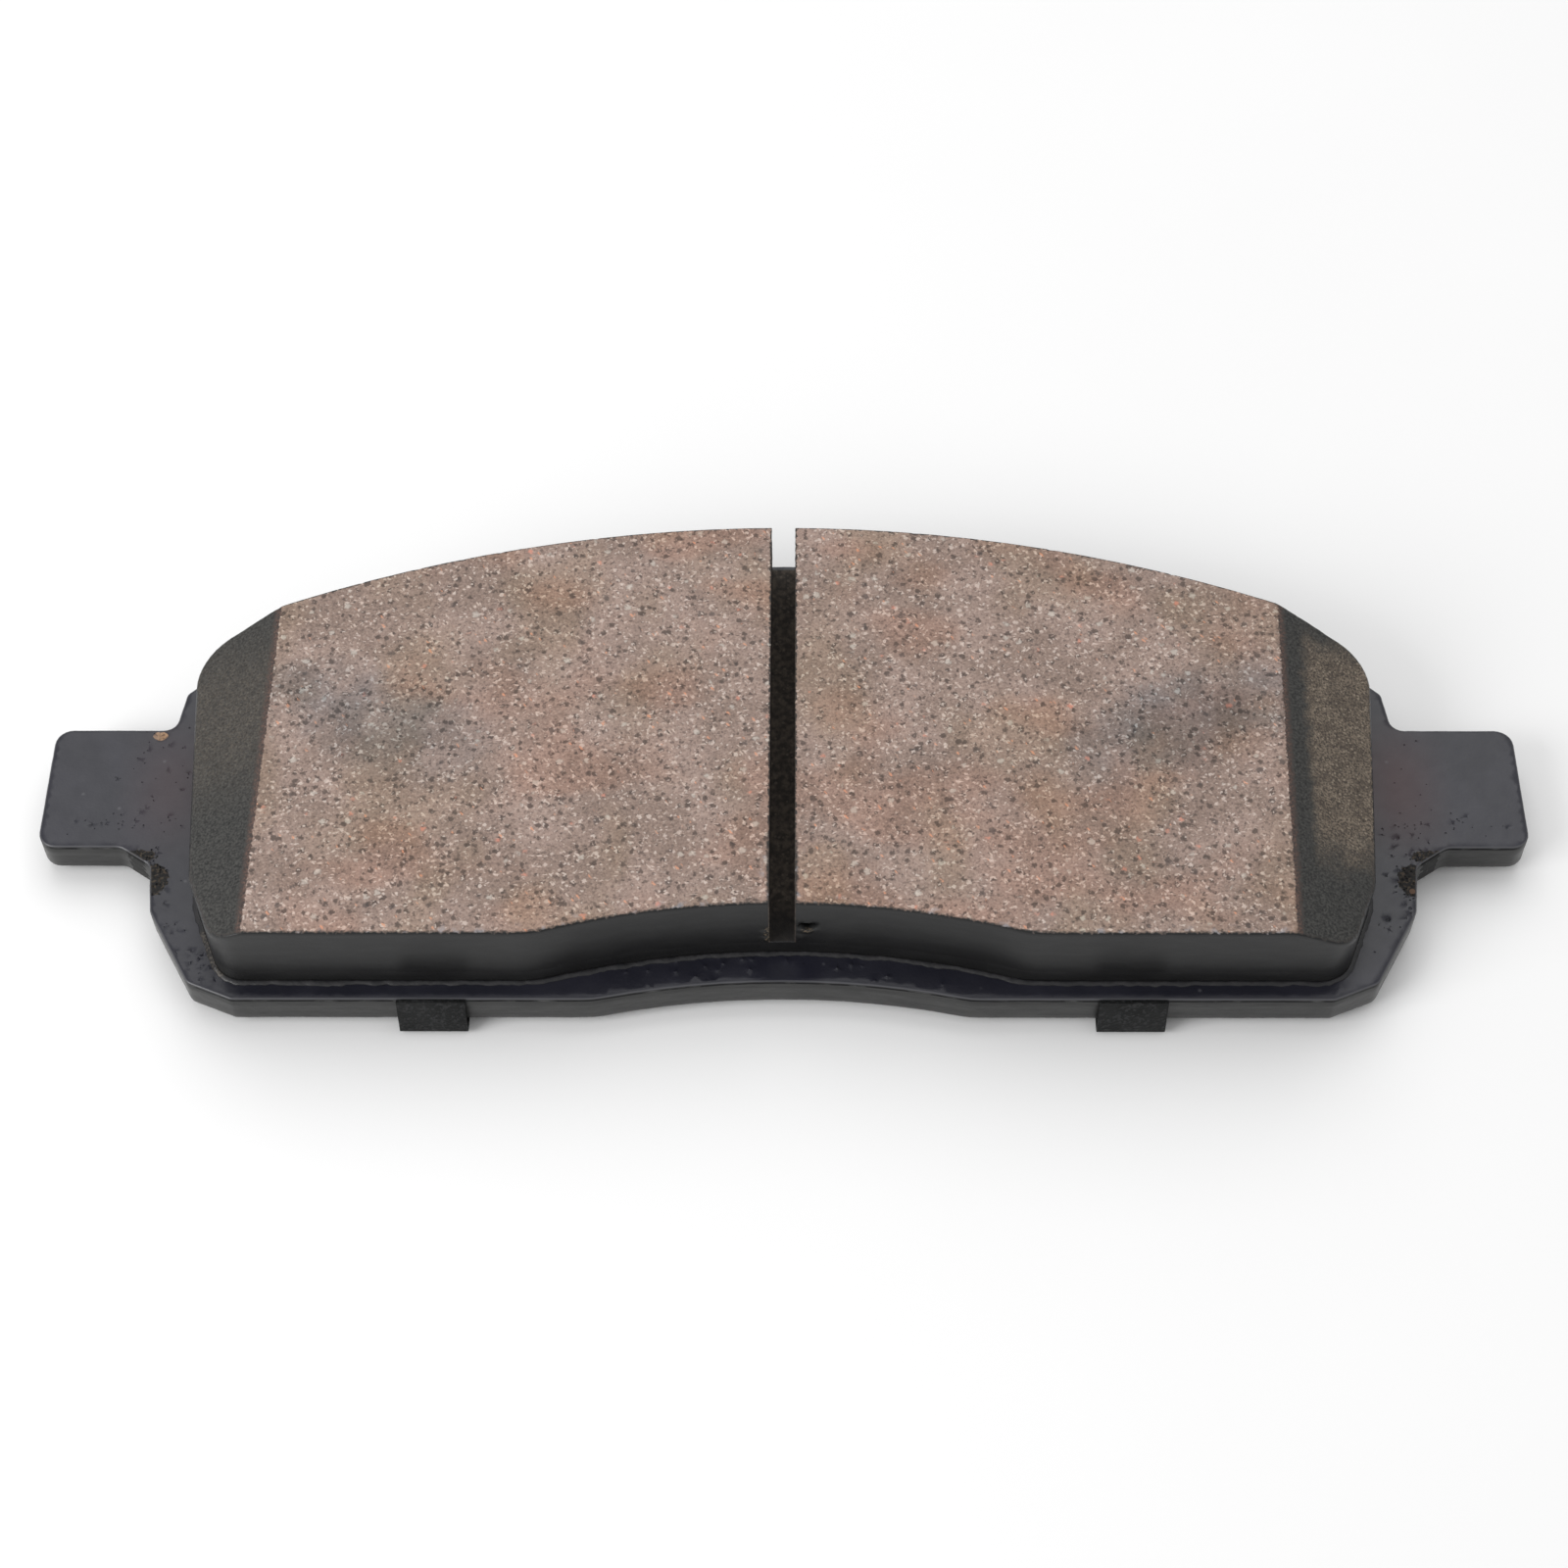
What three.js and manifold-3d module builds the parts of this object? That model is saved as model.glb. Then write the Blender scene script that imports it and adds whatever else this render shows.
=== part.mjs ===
// Front disc brake pad for a full-size pickup: a laminated assembly of a steel backing plate, a moulded
// two-layer friction lining in two blocks, and a multi-layer noise shim with four clip tabs.
//
// Millimetres. +X runs along the pad, +Y points outward from the wheel's centre, and +Z points at the
// rotor. The origin is at the middle of the pad's footprint, on the shim's outer face.
// Outlines are drawn with y = 0 at the middle of the ears, where the rotor's axis is at y = ROTOR_Y.

import * as THREE from 'three';
import { mergeVertices } from 'three/addons/utils/BufferGeometryUtils.js';
import Module from 'manifold-3d';

const wasm = await Module();
wasm.setup();

// ---------------------------------------------------------------- driving dimensions

const ROTOR_Y = -132; // the rotor's axis, below the middle of the ears

const PLATE_THICKNESS = 5;
const LINING_HEIGHT = 11; // from the plate to the friction face
const UNDERLAYER_TOP = 2.3; // above the plate, and the floor of the slot
const BOND_THICKNESS = 0.1;

const SHIM_LAYERS = {
  outerCoating: 0.15,
  clipSheet: 0.5,
  damping: 0.1,
  innerSheet: 0.15,
  adhesive: 0.1,
};

const LINING_OUTER_RADIUS = 165.6; // about the rotor's axis
const LINING_INNER_RADIUS = 107.7;
const LINING_BOTTOM_Y = -28.5;
const LINING_END = { lower: new THREE.Vector2(72.2, -18.2), upper: new THREE.Vector2(74.9, 13) };
const LINING_TOE = new THREE.Vector2(68.1, LINING_BOTTOM_Y); // where the bottom meets the end's lower slope
const LINING_CORNER_RADIUS = 6.5; // at the upper corners
const SLOT_WIDTH = 3;
const CHAMFER_ANGLE = THREE.MathUtils.degToRad(24);
// Each end is ground on its own, so the two chamfers start at slightly different lines. startX is at
// y = 0, and skew turns the line so that its lower end lies nearer the slot.
const CHAMFERS = {
  left: { side: -1, startX: 64.1, skew: 0 },
  right: { side: 1, startX: 62.2, skew: THREE.MathUtils.degToRad(2.4) },
};

const PLATE_MARGIN = 2.4; // plate showing around the lining's upper corners and outer arc
const PLATE_INNER_RADIUS = 103.5;
const PLATE_BOTTOM_Y = -31.05;
const SHOULDER_ANGLE = THREE.MathUtils.degToRad(28); // where the corner arc gives way to the shoulder
const EAR_END_X = 93.5;
const EAR_HALF_HEIGHT = 9.05;
const EAR_CORNER_RADIUS = 2.3;

const HOLE_RADIUS = 4.5; // moulding holes, which the underlayer fills
const HOLE_CENTRES = [
  [-50, -3],
  [-20, 6],
  [20, 6],
  [50, -3],
];
const PLUG_GAP = 0.3;

const SHIM_INSET = 1; // the shim's edge inside the plate's edge
const SHIM_END_X = 70;
const INNER_LAYER_INSET = 0.8; // the hidden shim layers stop this far inside the clip sheet's edge
const TAB_WIDTH = 8.3;
const TAB_BEND_RADIUS = 0.4; // on the inside of the bend
const TAB_LEAN = THREE.MathUtils.degToRad(9); // past upright, so that the tab springs against the plate
const TAB_TIP_CLEARANCE = 0.15; // from the tab's tip to the plate's edge
const TAB_RISE = 0.2; // the tip stands this far above the plate's front face
const LOWER_TAB_X = 42.5;
const UPPER_TAB_ANGLE = Math.asin(36 / 168); // either side of the pad's centreline, about the rotor's axis

const CHORD_ERROR = 0.02; // largest distance from a true arc to its straight pieces

// ---------------------------------------------------------------- levels and radii worked out from them

const PLATE_OUTER_RADIUS = LINING_OUTER_RADIUS + PLATE_MARGIN;
const CLIP_SHEET_Z = SHIM_LAYERS.outerCoating;
const DAMPING_Z = CLIP_SHEET_Z + SHIM_LAYERS.clipSheet;
const INNER_SHEET_Z = DAMPING_Z + SHIM_LAYERS.damping;
const ADHESIVE_Z = INNER_SHEET_Z + SHIM_LAYERS.innerSheet;
const PLATE_Z = ADHESIVE_Z + SHIM_LAYERS.adhesive;
const BOND_Z = PLATE_Z + PLATE_THICKNESS;
const UNDERLAYER_Z = BOND_Z + BOND_THICKNESS;
const BLOCK_Z = BOND_Z + UNDERLAYER_TOP;
const FACE_Z = BOND_Z + LINING_HEIGHT;
const HIGHEST_Y = ROTOR_Y + PLATE_OUTER_RADIUS;

// The tab's bend, in a plane where y = 0 is the plate's edge and -y is outward.
const BEND_Z = DAMPING_Z + TAB_BEND_RADIUS;
const TAB_TIP_RISE = BOND_Z + TAB_RISE - BEND_Z; // from the bend's centre up to the tip
const TAB_STRAIGHT = TAB_TIP_RISE / Math.cos(TAB_LEAN) - TAB_BEND_RADIUS * Math.tan(TAB_LEAN);
const BEND_Y =
  TAB_BEND_RADIUS * Math.cos(TAB_LEAN) - TAB_STRAIGHT * Math.sin(TAB_LEAN) - TAB_TIP_CLEARANCE;
const LOWEST_Y = PLATE_BOTTOM_Y + BEND_Y - TAB_BEND_RADIUS - SHIM_LAYERS.clipSheet;

// ---------------------------------------------------------------- outlines

/** Points along an arc about (x, y), from one angle to another. */
function arc(x, y, radius, from, to) {
  const step = 2 * Math.acos(1 - CHORD_ERROR / radius);
  const pieces = Math.max(2, Math.ceil(Math.abs(to - from) / step));
  return Array.from({ length: pieces + 1 }, (_, i) => {
    const angle = from + ((to - from) * i) / pieces;
    return new THREE.Vector2(x + radius * Math.cos(angle), y + radius * Math.sin(angle));
  });
}

/** The arc that rounds the corner at `at`, between straight edges from `before` and to `after`. */
function roundedCorner(before, at, after, radius) {
  const back = before.clone().sub(at).normalize();
  const ahead = after.clone().sub(at).normalize();
  const halfAngle = Math.acos(back.dot(ahead)) / 2;
  const bisector = back.clone().add(ahead).normalize();
  const centre = at.clone().addScaledVector(bisector, radius / Math.sin(halfAngle));
  const start = at.clone().addScaledVector(back, radius / Math.tan(halfAngle)).sub(centre);
  const end = at.clone().addScaledVector(ahead, radius / Math.tan(halfAngle)).sub(centre);
  const turn = Math.atan2(start.cross(end), start.dot(end));
  return arc(centre.x, centre.y, radius, start.angle(), start.angle() + turn);
}

/** Rounds every corner of an open run of [point, radius] pairs, apart from its two ends. */
function roundedRun(corners) {
  return corners.slice(1, -1).flatMap(([at, radius], i) => {
    return roundedCorner(corners[i][0], at, corners[i + 2][0], radius);
  });
}

/** The right half of a lower edge: an arc about the rotor's axis that blends into a straight bottom. */
function lowerEdge(arcRadius, bottomY, blendRadius) {
  const blendY = bottomY + blendRadius;
  const blendX = Math.sqrt((arcRadius + blendRadius) ** 2 - (blendY - ROTOR_Y) ** 2);
  const meetAngle = Math.atan2(blendY - ROTOR_Y, blendX);
  return [
    ...arc(0, ROTOR_Y, arcRadius, Math.PI / 2, meetAngle),
    ...arc(blendX, blendY, blendRadius, meetAngle - Math.PI, -Math.PI / 2),
  ];
}

/** A closed outline from its right half, which runs from the bottom to the top of the centreline. */
function symmetricShape(rightHalf) {
  const leftHalf = rightHalf.map((p) => new THREE.Vector2(-p.x, p.y)).reverse();
  const points = [...rightHalf, ...leftHalf];
  const distinct = points.filter((p, i) => p.distanceTo(points[(i + 1) % points.length]) > 1e-4);
  return new THREE.Shape(distinct);
}

/** The centre of the lining's upper corner arc, which touches both its end and its outer arc. */
function cornerCentre() {
  const along = LINING_END.upper.clone().sub(LINING_END.lower).normalize();
  const inward = new THREE.Vector2(-along.y, along.x);
  const rotorAxis = new THREE.Vector2(0, ROTOR_Y);
  const start = LINING_END.upper.clone().addScaledVector(inward, LINING_CORNER_RADIUS).sub(rotorAxis);
  const reach = LINING_OUTER_RADIUS - LINING_CORNER_RADIUS;
  const half = start.dot(along);
  const travel = -half + Math.sqrt(half * half - start.lengthSq() + reach * reach);
  return start.addScaledVector(along, travel).add(rotorAxis);
}

const CORNER = cornerCentre();
const CORNER_END_ANGLE = Math.atan2(CORNER.y - ROTOR_Y, CORNER.x); // where it meets the outer arc

/** The friction lining's outline, grown by `proud` all round. */
function liningShape(proud = 0) {
  const along = LINING_END.upper.clone().sub(LINING_END.lower);
  const endAngle = along.angle() - Math.PI / 2;
  const outward = new THREE.Vector2(Math.cos(endAngle), Math.sin(endAngle)).multiplyScalar(proud);
  const toe = LINING_TOE.clone().add(new THREE.Vector2(proud, -proud));
  const lower = LINING_END.lower.clone().add(outward);
  const upper = LINING_END.upper.clone().add(outward);
  const bottomStart = new THREE.Vector2(0, toe.y);
  return symmetricShape([
    ...lowerEdge(LINING_INNER_RADIUS - proud, toe.y, 15),
    ...roundedRun([[bottomStart], [toe, 4 + proud], [lower, 3 + proud], [upper]]),
    ...arc(CORNER.x, CORNER.y, LINING_CORNER_RADIUS + proud, endAngle, CORNER_END_ANGLE),
    ...arc(0, ROTOR_Y, LINING_OUTER_RADIUS + proud, CORNER_END_ANGLE, Math.PI / 2),
  ]);
}

/** The backing plate's outline: the body, its shoulders and the two ears. */
function plateShape() {
  const cornerRadius = LINING_CORNER_RADIUS + PLATE_MARGIN;
  const cornerArc = arc(CORNER.x, CORNER.y, cornerRadius, SHOULDER_ANGLE, CORNER_END_ANGLE);
  return symmetricShape([
    ...lowerEdge(PLATE_INNER_RADIUS, PLATE_BOTTOM_Y, 10),
    ...roundedRun([
      [new THREE.Vector2(0, PLATE_BOTTOM_Y)],
      [new THREE.Vector2(66.8, PLATE_BOTTOM_Y), 1.5],
      [new THREE.Vector2(72.4, -28.7), 1.5],
      [new THREE.Vector2(78.15, -18.5), 2],
      [new THREE.Vector2(79, -11.75), 1.2],
      [new THREE.Vector2(83, -EAR_HALF_HEIGHT), 2],
      [new THREE.Vector2(EAR_END_X, -EAR_HALF_HEIGHT), EAR_CORNER_RADIUS],
      [new THREE.Vector2(EAR_END_X, EAR_HALF_HEIGHT), EAR_CORNER_RADIUS],
      [new THREE.Vector2(78.2, EAR_HALF_HEIGHT), 1.8],
      [new THREE.Vector2(77.4, 14.7), 1.2],
      [cornerArc[0]],
    ]),
    ...cornerArc,
    ...arc(0, ROTOR_Y, PLATE_OUTER_RADIUS, CORNER_END_ANGLE, Math.PI / 2),
  ]);
}

/** The shim's outline, `inset` inside the plate's edge. It leaves the ears bare. */
function shimShape(inset) {
  const bottomY = PLATE_BOTTOM_Y + inset;
  const outerRadius = PLATE_OUTER_RADIUS - inset;
  const endX = SHIM_END_X - inset;
  const topY = ROTOR_Y + Math.sqrt(outerRadius ** 2 - endX ** 2);
  const endTop = new THREE.Vector2(endX, topY);
  const topTangent = new THREE.Vector2(ROTOR_Y - topY, endX).normalize();
  const topCorner = roundedCorner(
    new THREE.Vector2(endX, 0),
    endTop,
    endTop.clone().addScaledVector(topTangent, 20),
    4,
  );
  const topMeet = topCorner.at(-1);
  return symmetricShape([
    ...lowerEdge(PLATE_INNER_RADIUS + inset, bottomY, 10),
    ...roundedRun([
      [new THREE.Vector2(0, bottomY)],
      [new THREE.Vector2(endX - 5, bottomY), 4],
      [new THREE.Vector2(endX, bottomY + 7), 4],
      [endTop],
    ]),
    ...topCorner,
    ...arc(0, ROTOR_Y, outerRadius, Math.atan2(topMeet.y - ROTOR_Y, topMeet.x), Math.PI / 2),
  ]);
}

/** Opens a round hole through a shape at each moulding hole's centre. */
function withHoles(shape) {
  for (const [x, y] of HOLE_CENTRES) {
    shape.holes.push(new THREE.Path(arc(x, y, HOLE_RADIUS, 0, 2 * Math.PI).slice(0, -1)));
  }
  return shape;
}

// ---------------------------------------------------------------- solids

/** A flat layer of a given outline between two levels. */
function layer(shape, bottomZ, topZ) {
  const geometry = new THREE.ExtrudeGeometry(shape, { depth: topZ - bottomZ, bevelEnabled: false });
  return geometry.translate(0, 0, bottomZ);
}

/** A closed geometry as a solid that can be joined and cut. */
function toSolid(geometry) {
  const bare = geometry.clone();
  bare.deleteAttribute('normal');
  bare.deleteAttribute('uv');
  const merged = mergeVertices(bare);
  const mesh = new wasm.Mesh({
    numProp: 3,
    vertProperties: new Float32Array(merged.attributes.position.array),
    triVerts: new Uint32Array(merged.index.array),
  });
  return new wasm.Manifold(mesh);
}

/** A solid as a geometry. */
function toGeometry(solid) {
  const mesh = solid.getMesh();
  const geometry = new THREE.BufferGeometry();
  geometry.setAttribute('position', new THREE.BufferAttribute(mesh.vertProperties, mesh.numProp));
  geometry.setIndex(new THREE.BufferAttribute(mesh.triVerts, 1));
  return geometry;
}

/** One half of the lining above the underlayer. `side` is 1 for the right block and -1 for the left. */
function frictionBlock({ side, startX, skew }) {
  const reach = 200;
  const otherHalf = new THREE.BoxGeometry(reach, reach, reach);
  otherHalf.translate((side * (SLOT_WIDTH - reach)) / 2, 0, FACE_Z);
  const aboveChamfer = new THREE.BoxGeometry(reach, reach, reach);
  aboveChamfer.translate((side * reach) / 2, 0, reach / 2);
  aboveChamfer.rotateY(side * CHAMFER_ANGLE).rotateZ(-side * skew);
  aboveChamfer.translate(side * startX, 0, FACE_Z);
  const whole = toSolid(layer(liningShape(), BLOCK_Z, FACE_Z));
  return toGeometry(whole.subtract(toSolid(otherHalf)).subtract(toSolid(aboveChamfer)));
}

/** The underlayer, with a plug down into each of the plate's moulding holes. */
function underlayer() {
  const plugHeight = BLOCK_Z - PLATE_Z;
  let solid = toSolid(layer(liningShape(), UNDERLAYER_Z, BLOCK_Z));
  for (const [x, y] of HOLE_CENTRES) {
    const plug = new THREE.CylinderGeometry(HOLE_RADIUS - PLUG_GAP, HOLE_RADIUS - PLUG_GAP, plugHeight, 32);
    plug.rotateX(Math.PI / 2).translate(x, y, PLATE_Z + plugHeight / 2);
    solid = solid.add(toSolid(plug));
  }
  return toGeometry(solid);
}

/** A clip tab that bends up from the sheet, where y = 0 is the plate's edge and -Y is outward. */
function clipTab() {
  const thickness = SHIM_LAYERS.clipSheet;
  const root = SHIM_INSET + 2;
  const bendEnd = -Math.PI - TAB_LEAN;
  const outerBend = arc(BEND_Y, BEND_Z, TAB_BEND_RADIUS + thickness, -Math.PI / 2, bendEnd);
  const innerBend = arc(BEND_Y, BEND_Z, TAB_BEND_RADIUS, bendEnd, -Math.PI / 2);
  const rise = new THREE.Vector2(Math.sin(TAB_LEAN), Math.cos(TAB_LEAN)).multiplyScalar(TAB_STRAIGHT);
  const profile = new THREE.Shape([
    new THREE.Vector2(root, DAMPING_Z),
    new THREE.Vector2(root, CLIP_SHEET_Z),
    ...outerBend,
    outerBend.at(-1).clone().add(rise),
    innerBend[0].clone().add(rise),
    ...innerBend,
  ]);
  const tab = new THREE.ExtrudeGeometry(profile, { depth: TAB_WIDTH, bevelEnabled: false });
  // The profile is drawn as (y, z), and its thickness runs along X.
  const toPad = new THREE.Matrix4().set(0, 0, 1, -TAB_WIDTH / 2, 1, 0, 0, 0, 0, 1, 0, 0, 0, 0, 0, 1);
  return tab.applyMatrix4(toPad);
}

/** The shim's steel sheet with two tabs over the plate's lower edge and two over its outer arc. */
function clipSheet() {
  let solid = toSolid(layer(shimShape(SHIM_INSET), CLIP_SHEET_Z, DAMPING_Z));
  for (const side of [-1, 1]) {
    const lowerTab = clipTab().translate(side * LOWER_TAB_X, PLATE_BOTTOM_Y, 0);
    const upperTab = clipTab().rotateZ(Math.PI).translate(0, PLATE_OUTER_RADIUS, 0);
    upperTab.rotateZ(-side * UPPER_TAB_ANGLE).translate(0, ROTOR_Y, 0);
    solid = solid.add(toSolid(lowerTab)).add(toSolid(upperTab));
  }
  return toGeometry(solid);
}

// ---------------------------------------------------------------- assembly

const STEEL_PAINT = { color: 0x303036, roughness: 0.45, metalness: 0.3 };
const FRICTION = { color: 0x857671, roughness: 0.9, metalness: 0.05 };

const brakePad = new THREE.Group();
brakePad.position.y = -(LOWEST_Y + HIGHEST_Y) / 2;

/** Adds one named piece of the assembly. */
function addPiece(name, geometry, finish) {
  const mesh = new THREE.Mesh(geometry, new THREE.MeshStandardMaterial({ ...finish, flatShading: true }));
  mesh.name = name;
  brakePad.add(mesh);
}

/** A hidden flat layer of the shim, just inside the clip sheet's edge. */
function innerShimLayer(bottomZ, thickness) {
  return layer(shimShape(SHIM_INSET + INNER_LAYER_INSET), bottomZ, bottomZ + thickness);
}

addPiece('shim_outer_coating', layer(shimShape(SHIM_INSET), 0, CLIP_SHEET_Z), {
  color: 0x1c1d1f,
  roughness: 0.8,
  metalness: 0,
});
addPiece('shim_clip_sheet', clipSheet(), { color: 0x1e1f22, roughness: 0.7, metalness: 0.2 });
addPiece('shim_damping_layer', innerShimLayer(DAMPING_Z, SHIM_LAYERS.damping), {
  color: 0x2b2624,
  roughness: 0.85,
  metalness: 0,
});
addPiece('shim_inner_sheet', innerShimLayer(INNER_SHEET_Z, SHIM_LAYERS.innerSheet), {
  color: 0x8d9196,
  roughness: 0.4,
  metalness: 0.9,
});
addPiece('shim_adhesive_film', innerShimLayer(ADHESIVE_Z, SHIM_LAYERS.adhesive), {
  color: 0xb9ad8d,
  roughness: 0.6,
  metalness: 0,
});
addPiece('backing_plate', layer(withHoles(plateShape()), PLATE_Z, BOND_Z), STEEL_PAINT);
addPiece('bonding_adhesive', layer(withHoles(liningShape(0.4)), BOND_Z, UNDERLAYER_Z), {
  color: 0x2a2a2b,
  roughness: 0.5,
  metalness: 0,
});
addPiece('underlayer', underlayer(), { color: 0x3a3532, roughness: 0.9, metalness: 0 });
addPiece('friction_block_left', frictionBlock(CHAMFERS.left), FRICTION);
addPiece('friction_block_right', frictionBlock(CHAMFERS.right), FRICTION);

export default brakePad;
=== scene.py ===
"""A front disc brake pad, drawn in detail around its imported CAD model.

Shapes are worked out in millimetres, in the CAD model's frame: +X along the pad, +Y outward from the
wheel's centre and +Z towards the rotor. They are scaled to metres when their meshes are made.
"""

import math
import random

import bmesh
import bpy
import numpy as np
from mathutils import Matrix, Vector, kdtree, noise
from mathutils.geometry import delaunay_2d_cdt


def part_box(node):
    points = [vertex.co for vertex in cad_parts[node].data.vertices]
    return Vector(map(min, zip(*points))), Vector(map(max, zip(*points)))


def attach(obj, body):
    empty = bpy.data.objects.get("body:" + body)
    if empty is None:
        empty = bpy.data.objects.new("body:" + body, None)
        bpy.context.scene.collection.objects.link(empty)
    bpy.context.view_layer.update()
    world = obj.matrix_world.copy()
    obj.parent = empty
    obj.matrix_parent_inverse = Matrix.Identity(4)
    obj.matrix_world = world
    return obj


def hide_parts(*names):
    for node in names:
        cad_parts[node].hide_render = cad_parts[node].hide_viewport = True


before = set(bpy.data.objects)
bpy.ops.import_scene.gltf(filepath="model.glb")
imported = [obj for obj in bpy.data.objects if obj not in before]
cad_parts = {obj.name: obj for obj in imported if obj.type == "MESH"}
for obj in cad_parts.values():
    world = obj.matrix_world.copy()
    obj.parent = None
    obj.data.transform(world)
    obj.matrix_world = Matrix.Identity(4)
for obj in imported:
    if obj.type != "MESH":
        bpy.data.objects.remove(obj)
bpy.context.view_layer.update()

MM = 0.001

# ------------------------------------------------------------------ levels and places, from the frame


def levels(node):
    """A CAD node's lowest and highest z, in mm."""
    low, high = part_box(node)
    return low.z / MM, high.z / MM


PLATE_BACK, PLATE_FRONT = levels("backing_plate")
UNDERLAYER_BOTTOM = levels("bonding_adhesive")[1]
UNDERLAYER_TOP, FACE = levels("friction_block_left")
PLUG_BOTTOM = levels("underlayer")[0]
SLOT_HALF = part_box("friction_block_right")[0].x / MM

# ------------------------------------------------------------------ camera

VIEW_TILT = math.radians(55.5)  # below the horizontal
VIEW_TURN = math.radians(0.57)
VIEW_ROLL = math.radians(-0.44)
VIEW_DISTANCE = 373.1
VIEW_AIM = Vector((0.12, -1.16, PLATE_FRONT))
LENS = 67.5


def make_camera():
    """A camera that looks at the pad from above its lower edge, as the photograph does."""
    camera = bpy.data.objects.new("camera", bpy.data.cameras.new("camera"))
    camera.data.lens = LENS
    turn = Matrix.Rotation(VIEW_TURN, 4, "Z") @ Matrix.Rotation(math.pi / 2 - VIEW_TILT, 4, "X")
    turn = turn @ Matrix.Rotation(VIEW_ROLL, 4, "Z")
    place = VIEW_AIM + turn @ Vector((0, 0, VIEW_DISTANCE))
    camera.matrix_world = Matrix.Translation(place * MM) @ turn
    bpy.context.scene.collection.objects.link(camera)
    bpy.context.scene.camera = camera


make_camera()

# ------------------------------------------------------------------ outlines

SAME_LEVEL = 0.002  # mm, between a flat face's corners and its level
SAME_POINT = 0.01  # mm, between two points that count as one
STRAIGHT = 1e-4  # the sine of the smallest turn that counts as a corner

def outlines(node, z):
    """The closed outlines of a CAD node's flat face at level z, longest first, anticlockwise, in mm."""
    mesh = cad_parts[node].data
    corner = [tuple(round(c / MM, 4) for c in v.co) for v in mesh.vertices]
    uses = {}
    for face in mesh.polygons:
        ring = [corner[i] for i in face.vertices]
        if all(abs(p[2] - z) < SAME_LEVEL for p in ring):
            for a, b in zip(ring, ring[1:] + ring[:1]):
                uses.setdefault(frozenset((a[:2], b[:2])), []).append((a[:2], b[:2]))
    following = dict(found[0] for found in uses.values() if len(found) == 1)
    loops = []
    while following:
        start, at = following.popitem()
        loop = [start]
        while at != start:
            loop.append(at)
            at = following.pop(at)
        if area(loop) < 0:
            loop.reverse()
        loops.append(np.array(loop))
    return sorted(loops, key=lambda loop: -area(loop))


def area(loop):
    """The area within the outline, negative where it runs clockwise."""
    x, y = np.array(loop, float).T
    return 0.5 * float(np.sum(x * np.roll(y, -1) - y * np.roll(x, -1)))


def without_straight_points(loop):
    """The outline without the points that lie on a straight stretch, or all but on another point."""
    kept = [p for i, p in enumerate(loop) if math.dist(p, loop[i - 1]) > SAME_POINT]
    turned = []
    for i, p in enumerate(kept):
        before = p - kept[i - 1]
        after = kept[(i + 1) % len(kept)] - p
        turn = abs(before[0] * after[1] - before[1] * after[0])
        if turn > STRAIGHT * math.hypot(*before) * math.hypot(*after):
            turned.append(p)
    return np.array(turned)


def resampled(loop, step):
    """The outline with a point at every corner, and no two neighbours further apart than step."""
    points = []
    corners = without_straight_points(loop)
    for a, b in zip(corners, np.roll(corners, -1, 0)):
        count = max(1, math.ceil(math.dist(a, b) / step))
        points += [a + (b - a) * i / count for i in range(count)]
    return np.array(points)


def inset(loop, distance):
    """The outline moved inward. distance is one number, or one for each point."""
    edge = np.roll(loop, -1, 0) - loop
    edge /= np.linalg.norm(edge, axis=1)[:, None]
    inward = np.stack([-edge[:, 1], edge[:, 0]], 1)
    before = np.roll(inward, 1, 0)
    middle = inward + before
    middle /= np.maximum(np.linalg.norm(middle, axis=1), 1e-9)[:, None]
    spread = np.maximum(np.sum(middle * inward, 1), 0.4)
    return loop + middle * (np.broadcast_to(distance, len(loop)) / spread)[:, None]


def inside(points, loop):
    """Which points lie within the outline."""
    x, y = points[:, 0], points[:, 1]
    within = np.zeros(len(points), bool)
    for (x0, y0), (x1, y1) in zip(loop, np.roll(loop, -1, 0)):
        if y0 != y1:
            crosses = (y0 > y) != (y1 > y)
            within ^= crosses & (x < (x1 - x0) * (y - y0) / (y1 - y0) + x0)
    return within


def edge_distance(points, loop):
    """Each point's distance from the outline, whose points lie close together."""
    tree = kdtree.KDTree(len(loop))
    for i, (x, y) in enumerate(loop):
        tree.insert((x, y, 0), i)
    tree.balance()
    nearest = np.array([tree.find((x, y, 0))[1] for x, y in points])
    distances = []
    for first in (nearest - 1, nearest):
        start = loop[first]
        along = loop[(first + 1) % len(loop)] - start
        reach = np.clip(np.sum((points - start) * along, 1) / np.sum(along * along, 1), 0, 1)
        distances.append(np.linalg.norm(points - start - reach[:, None] * along, axis=1))
    return np.minimum(*distances)


# ------------------------------------------------------------------ marks: pits, bumps and chips


def scattered(seed, count, low, high, radii, depths):
    """Marks at random in a rectangle, as rows of x, y, radius, depth. A bump's depth is negative."""
    draw = random.Random(seed)
    rows = []
    for _ in range(count):
        x, y = draw.uniform(low[0], high[0]), draw.uniform(low[1], high[1])
        share = draw.random() ** 2
        rows.append((x, y, radii[0] + share * (radii[1] - radii[0]), draw.uniform(*depths)))
    return rows


def clustered(seed, count, centre, spread, radii, depths):
    """Marks gathered about a point, as scattered() gives them."""
    draw = random.Random(seed)
    rows = []
    for _ in range(count):
        x, y = draw.gauss(centre[0], spread[0]), draw.gauss(centre[1], spread[1])
        rows.append((x, y, draw.uniform(*radii), draw.uniform(*depths)))
    return rows


def spaced(marks):
    """The marks that don't run into an earlier one."""
    kept = []
    for mark in marks:
        if all(math.dist(mark[:2], k[:2]) > 1.15 * (mark[2] + k[2]) for k in kept):
            kept.append(mark)
    return kept


# ------------------------------------------------------------------ mesh building


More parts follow.
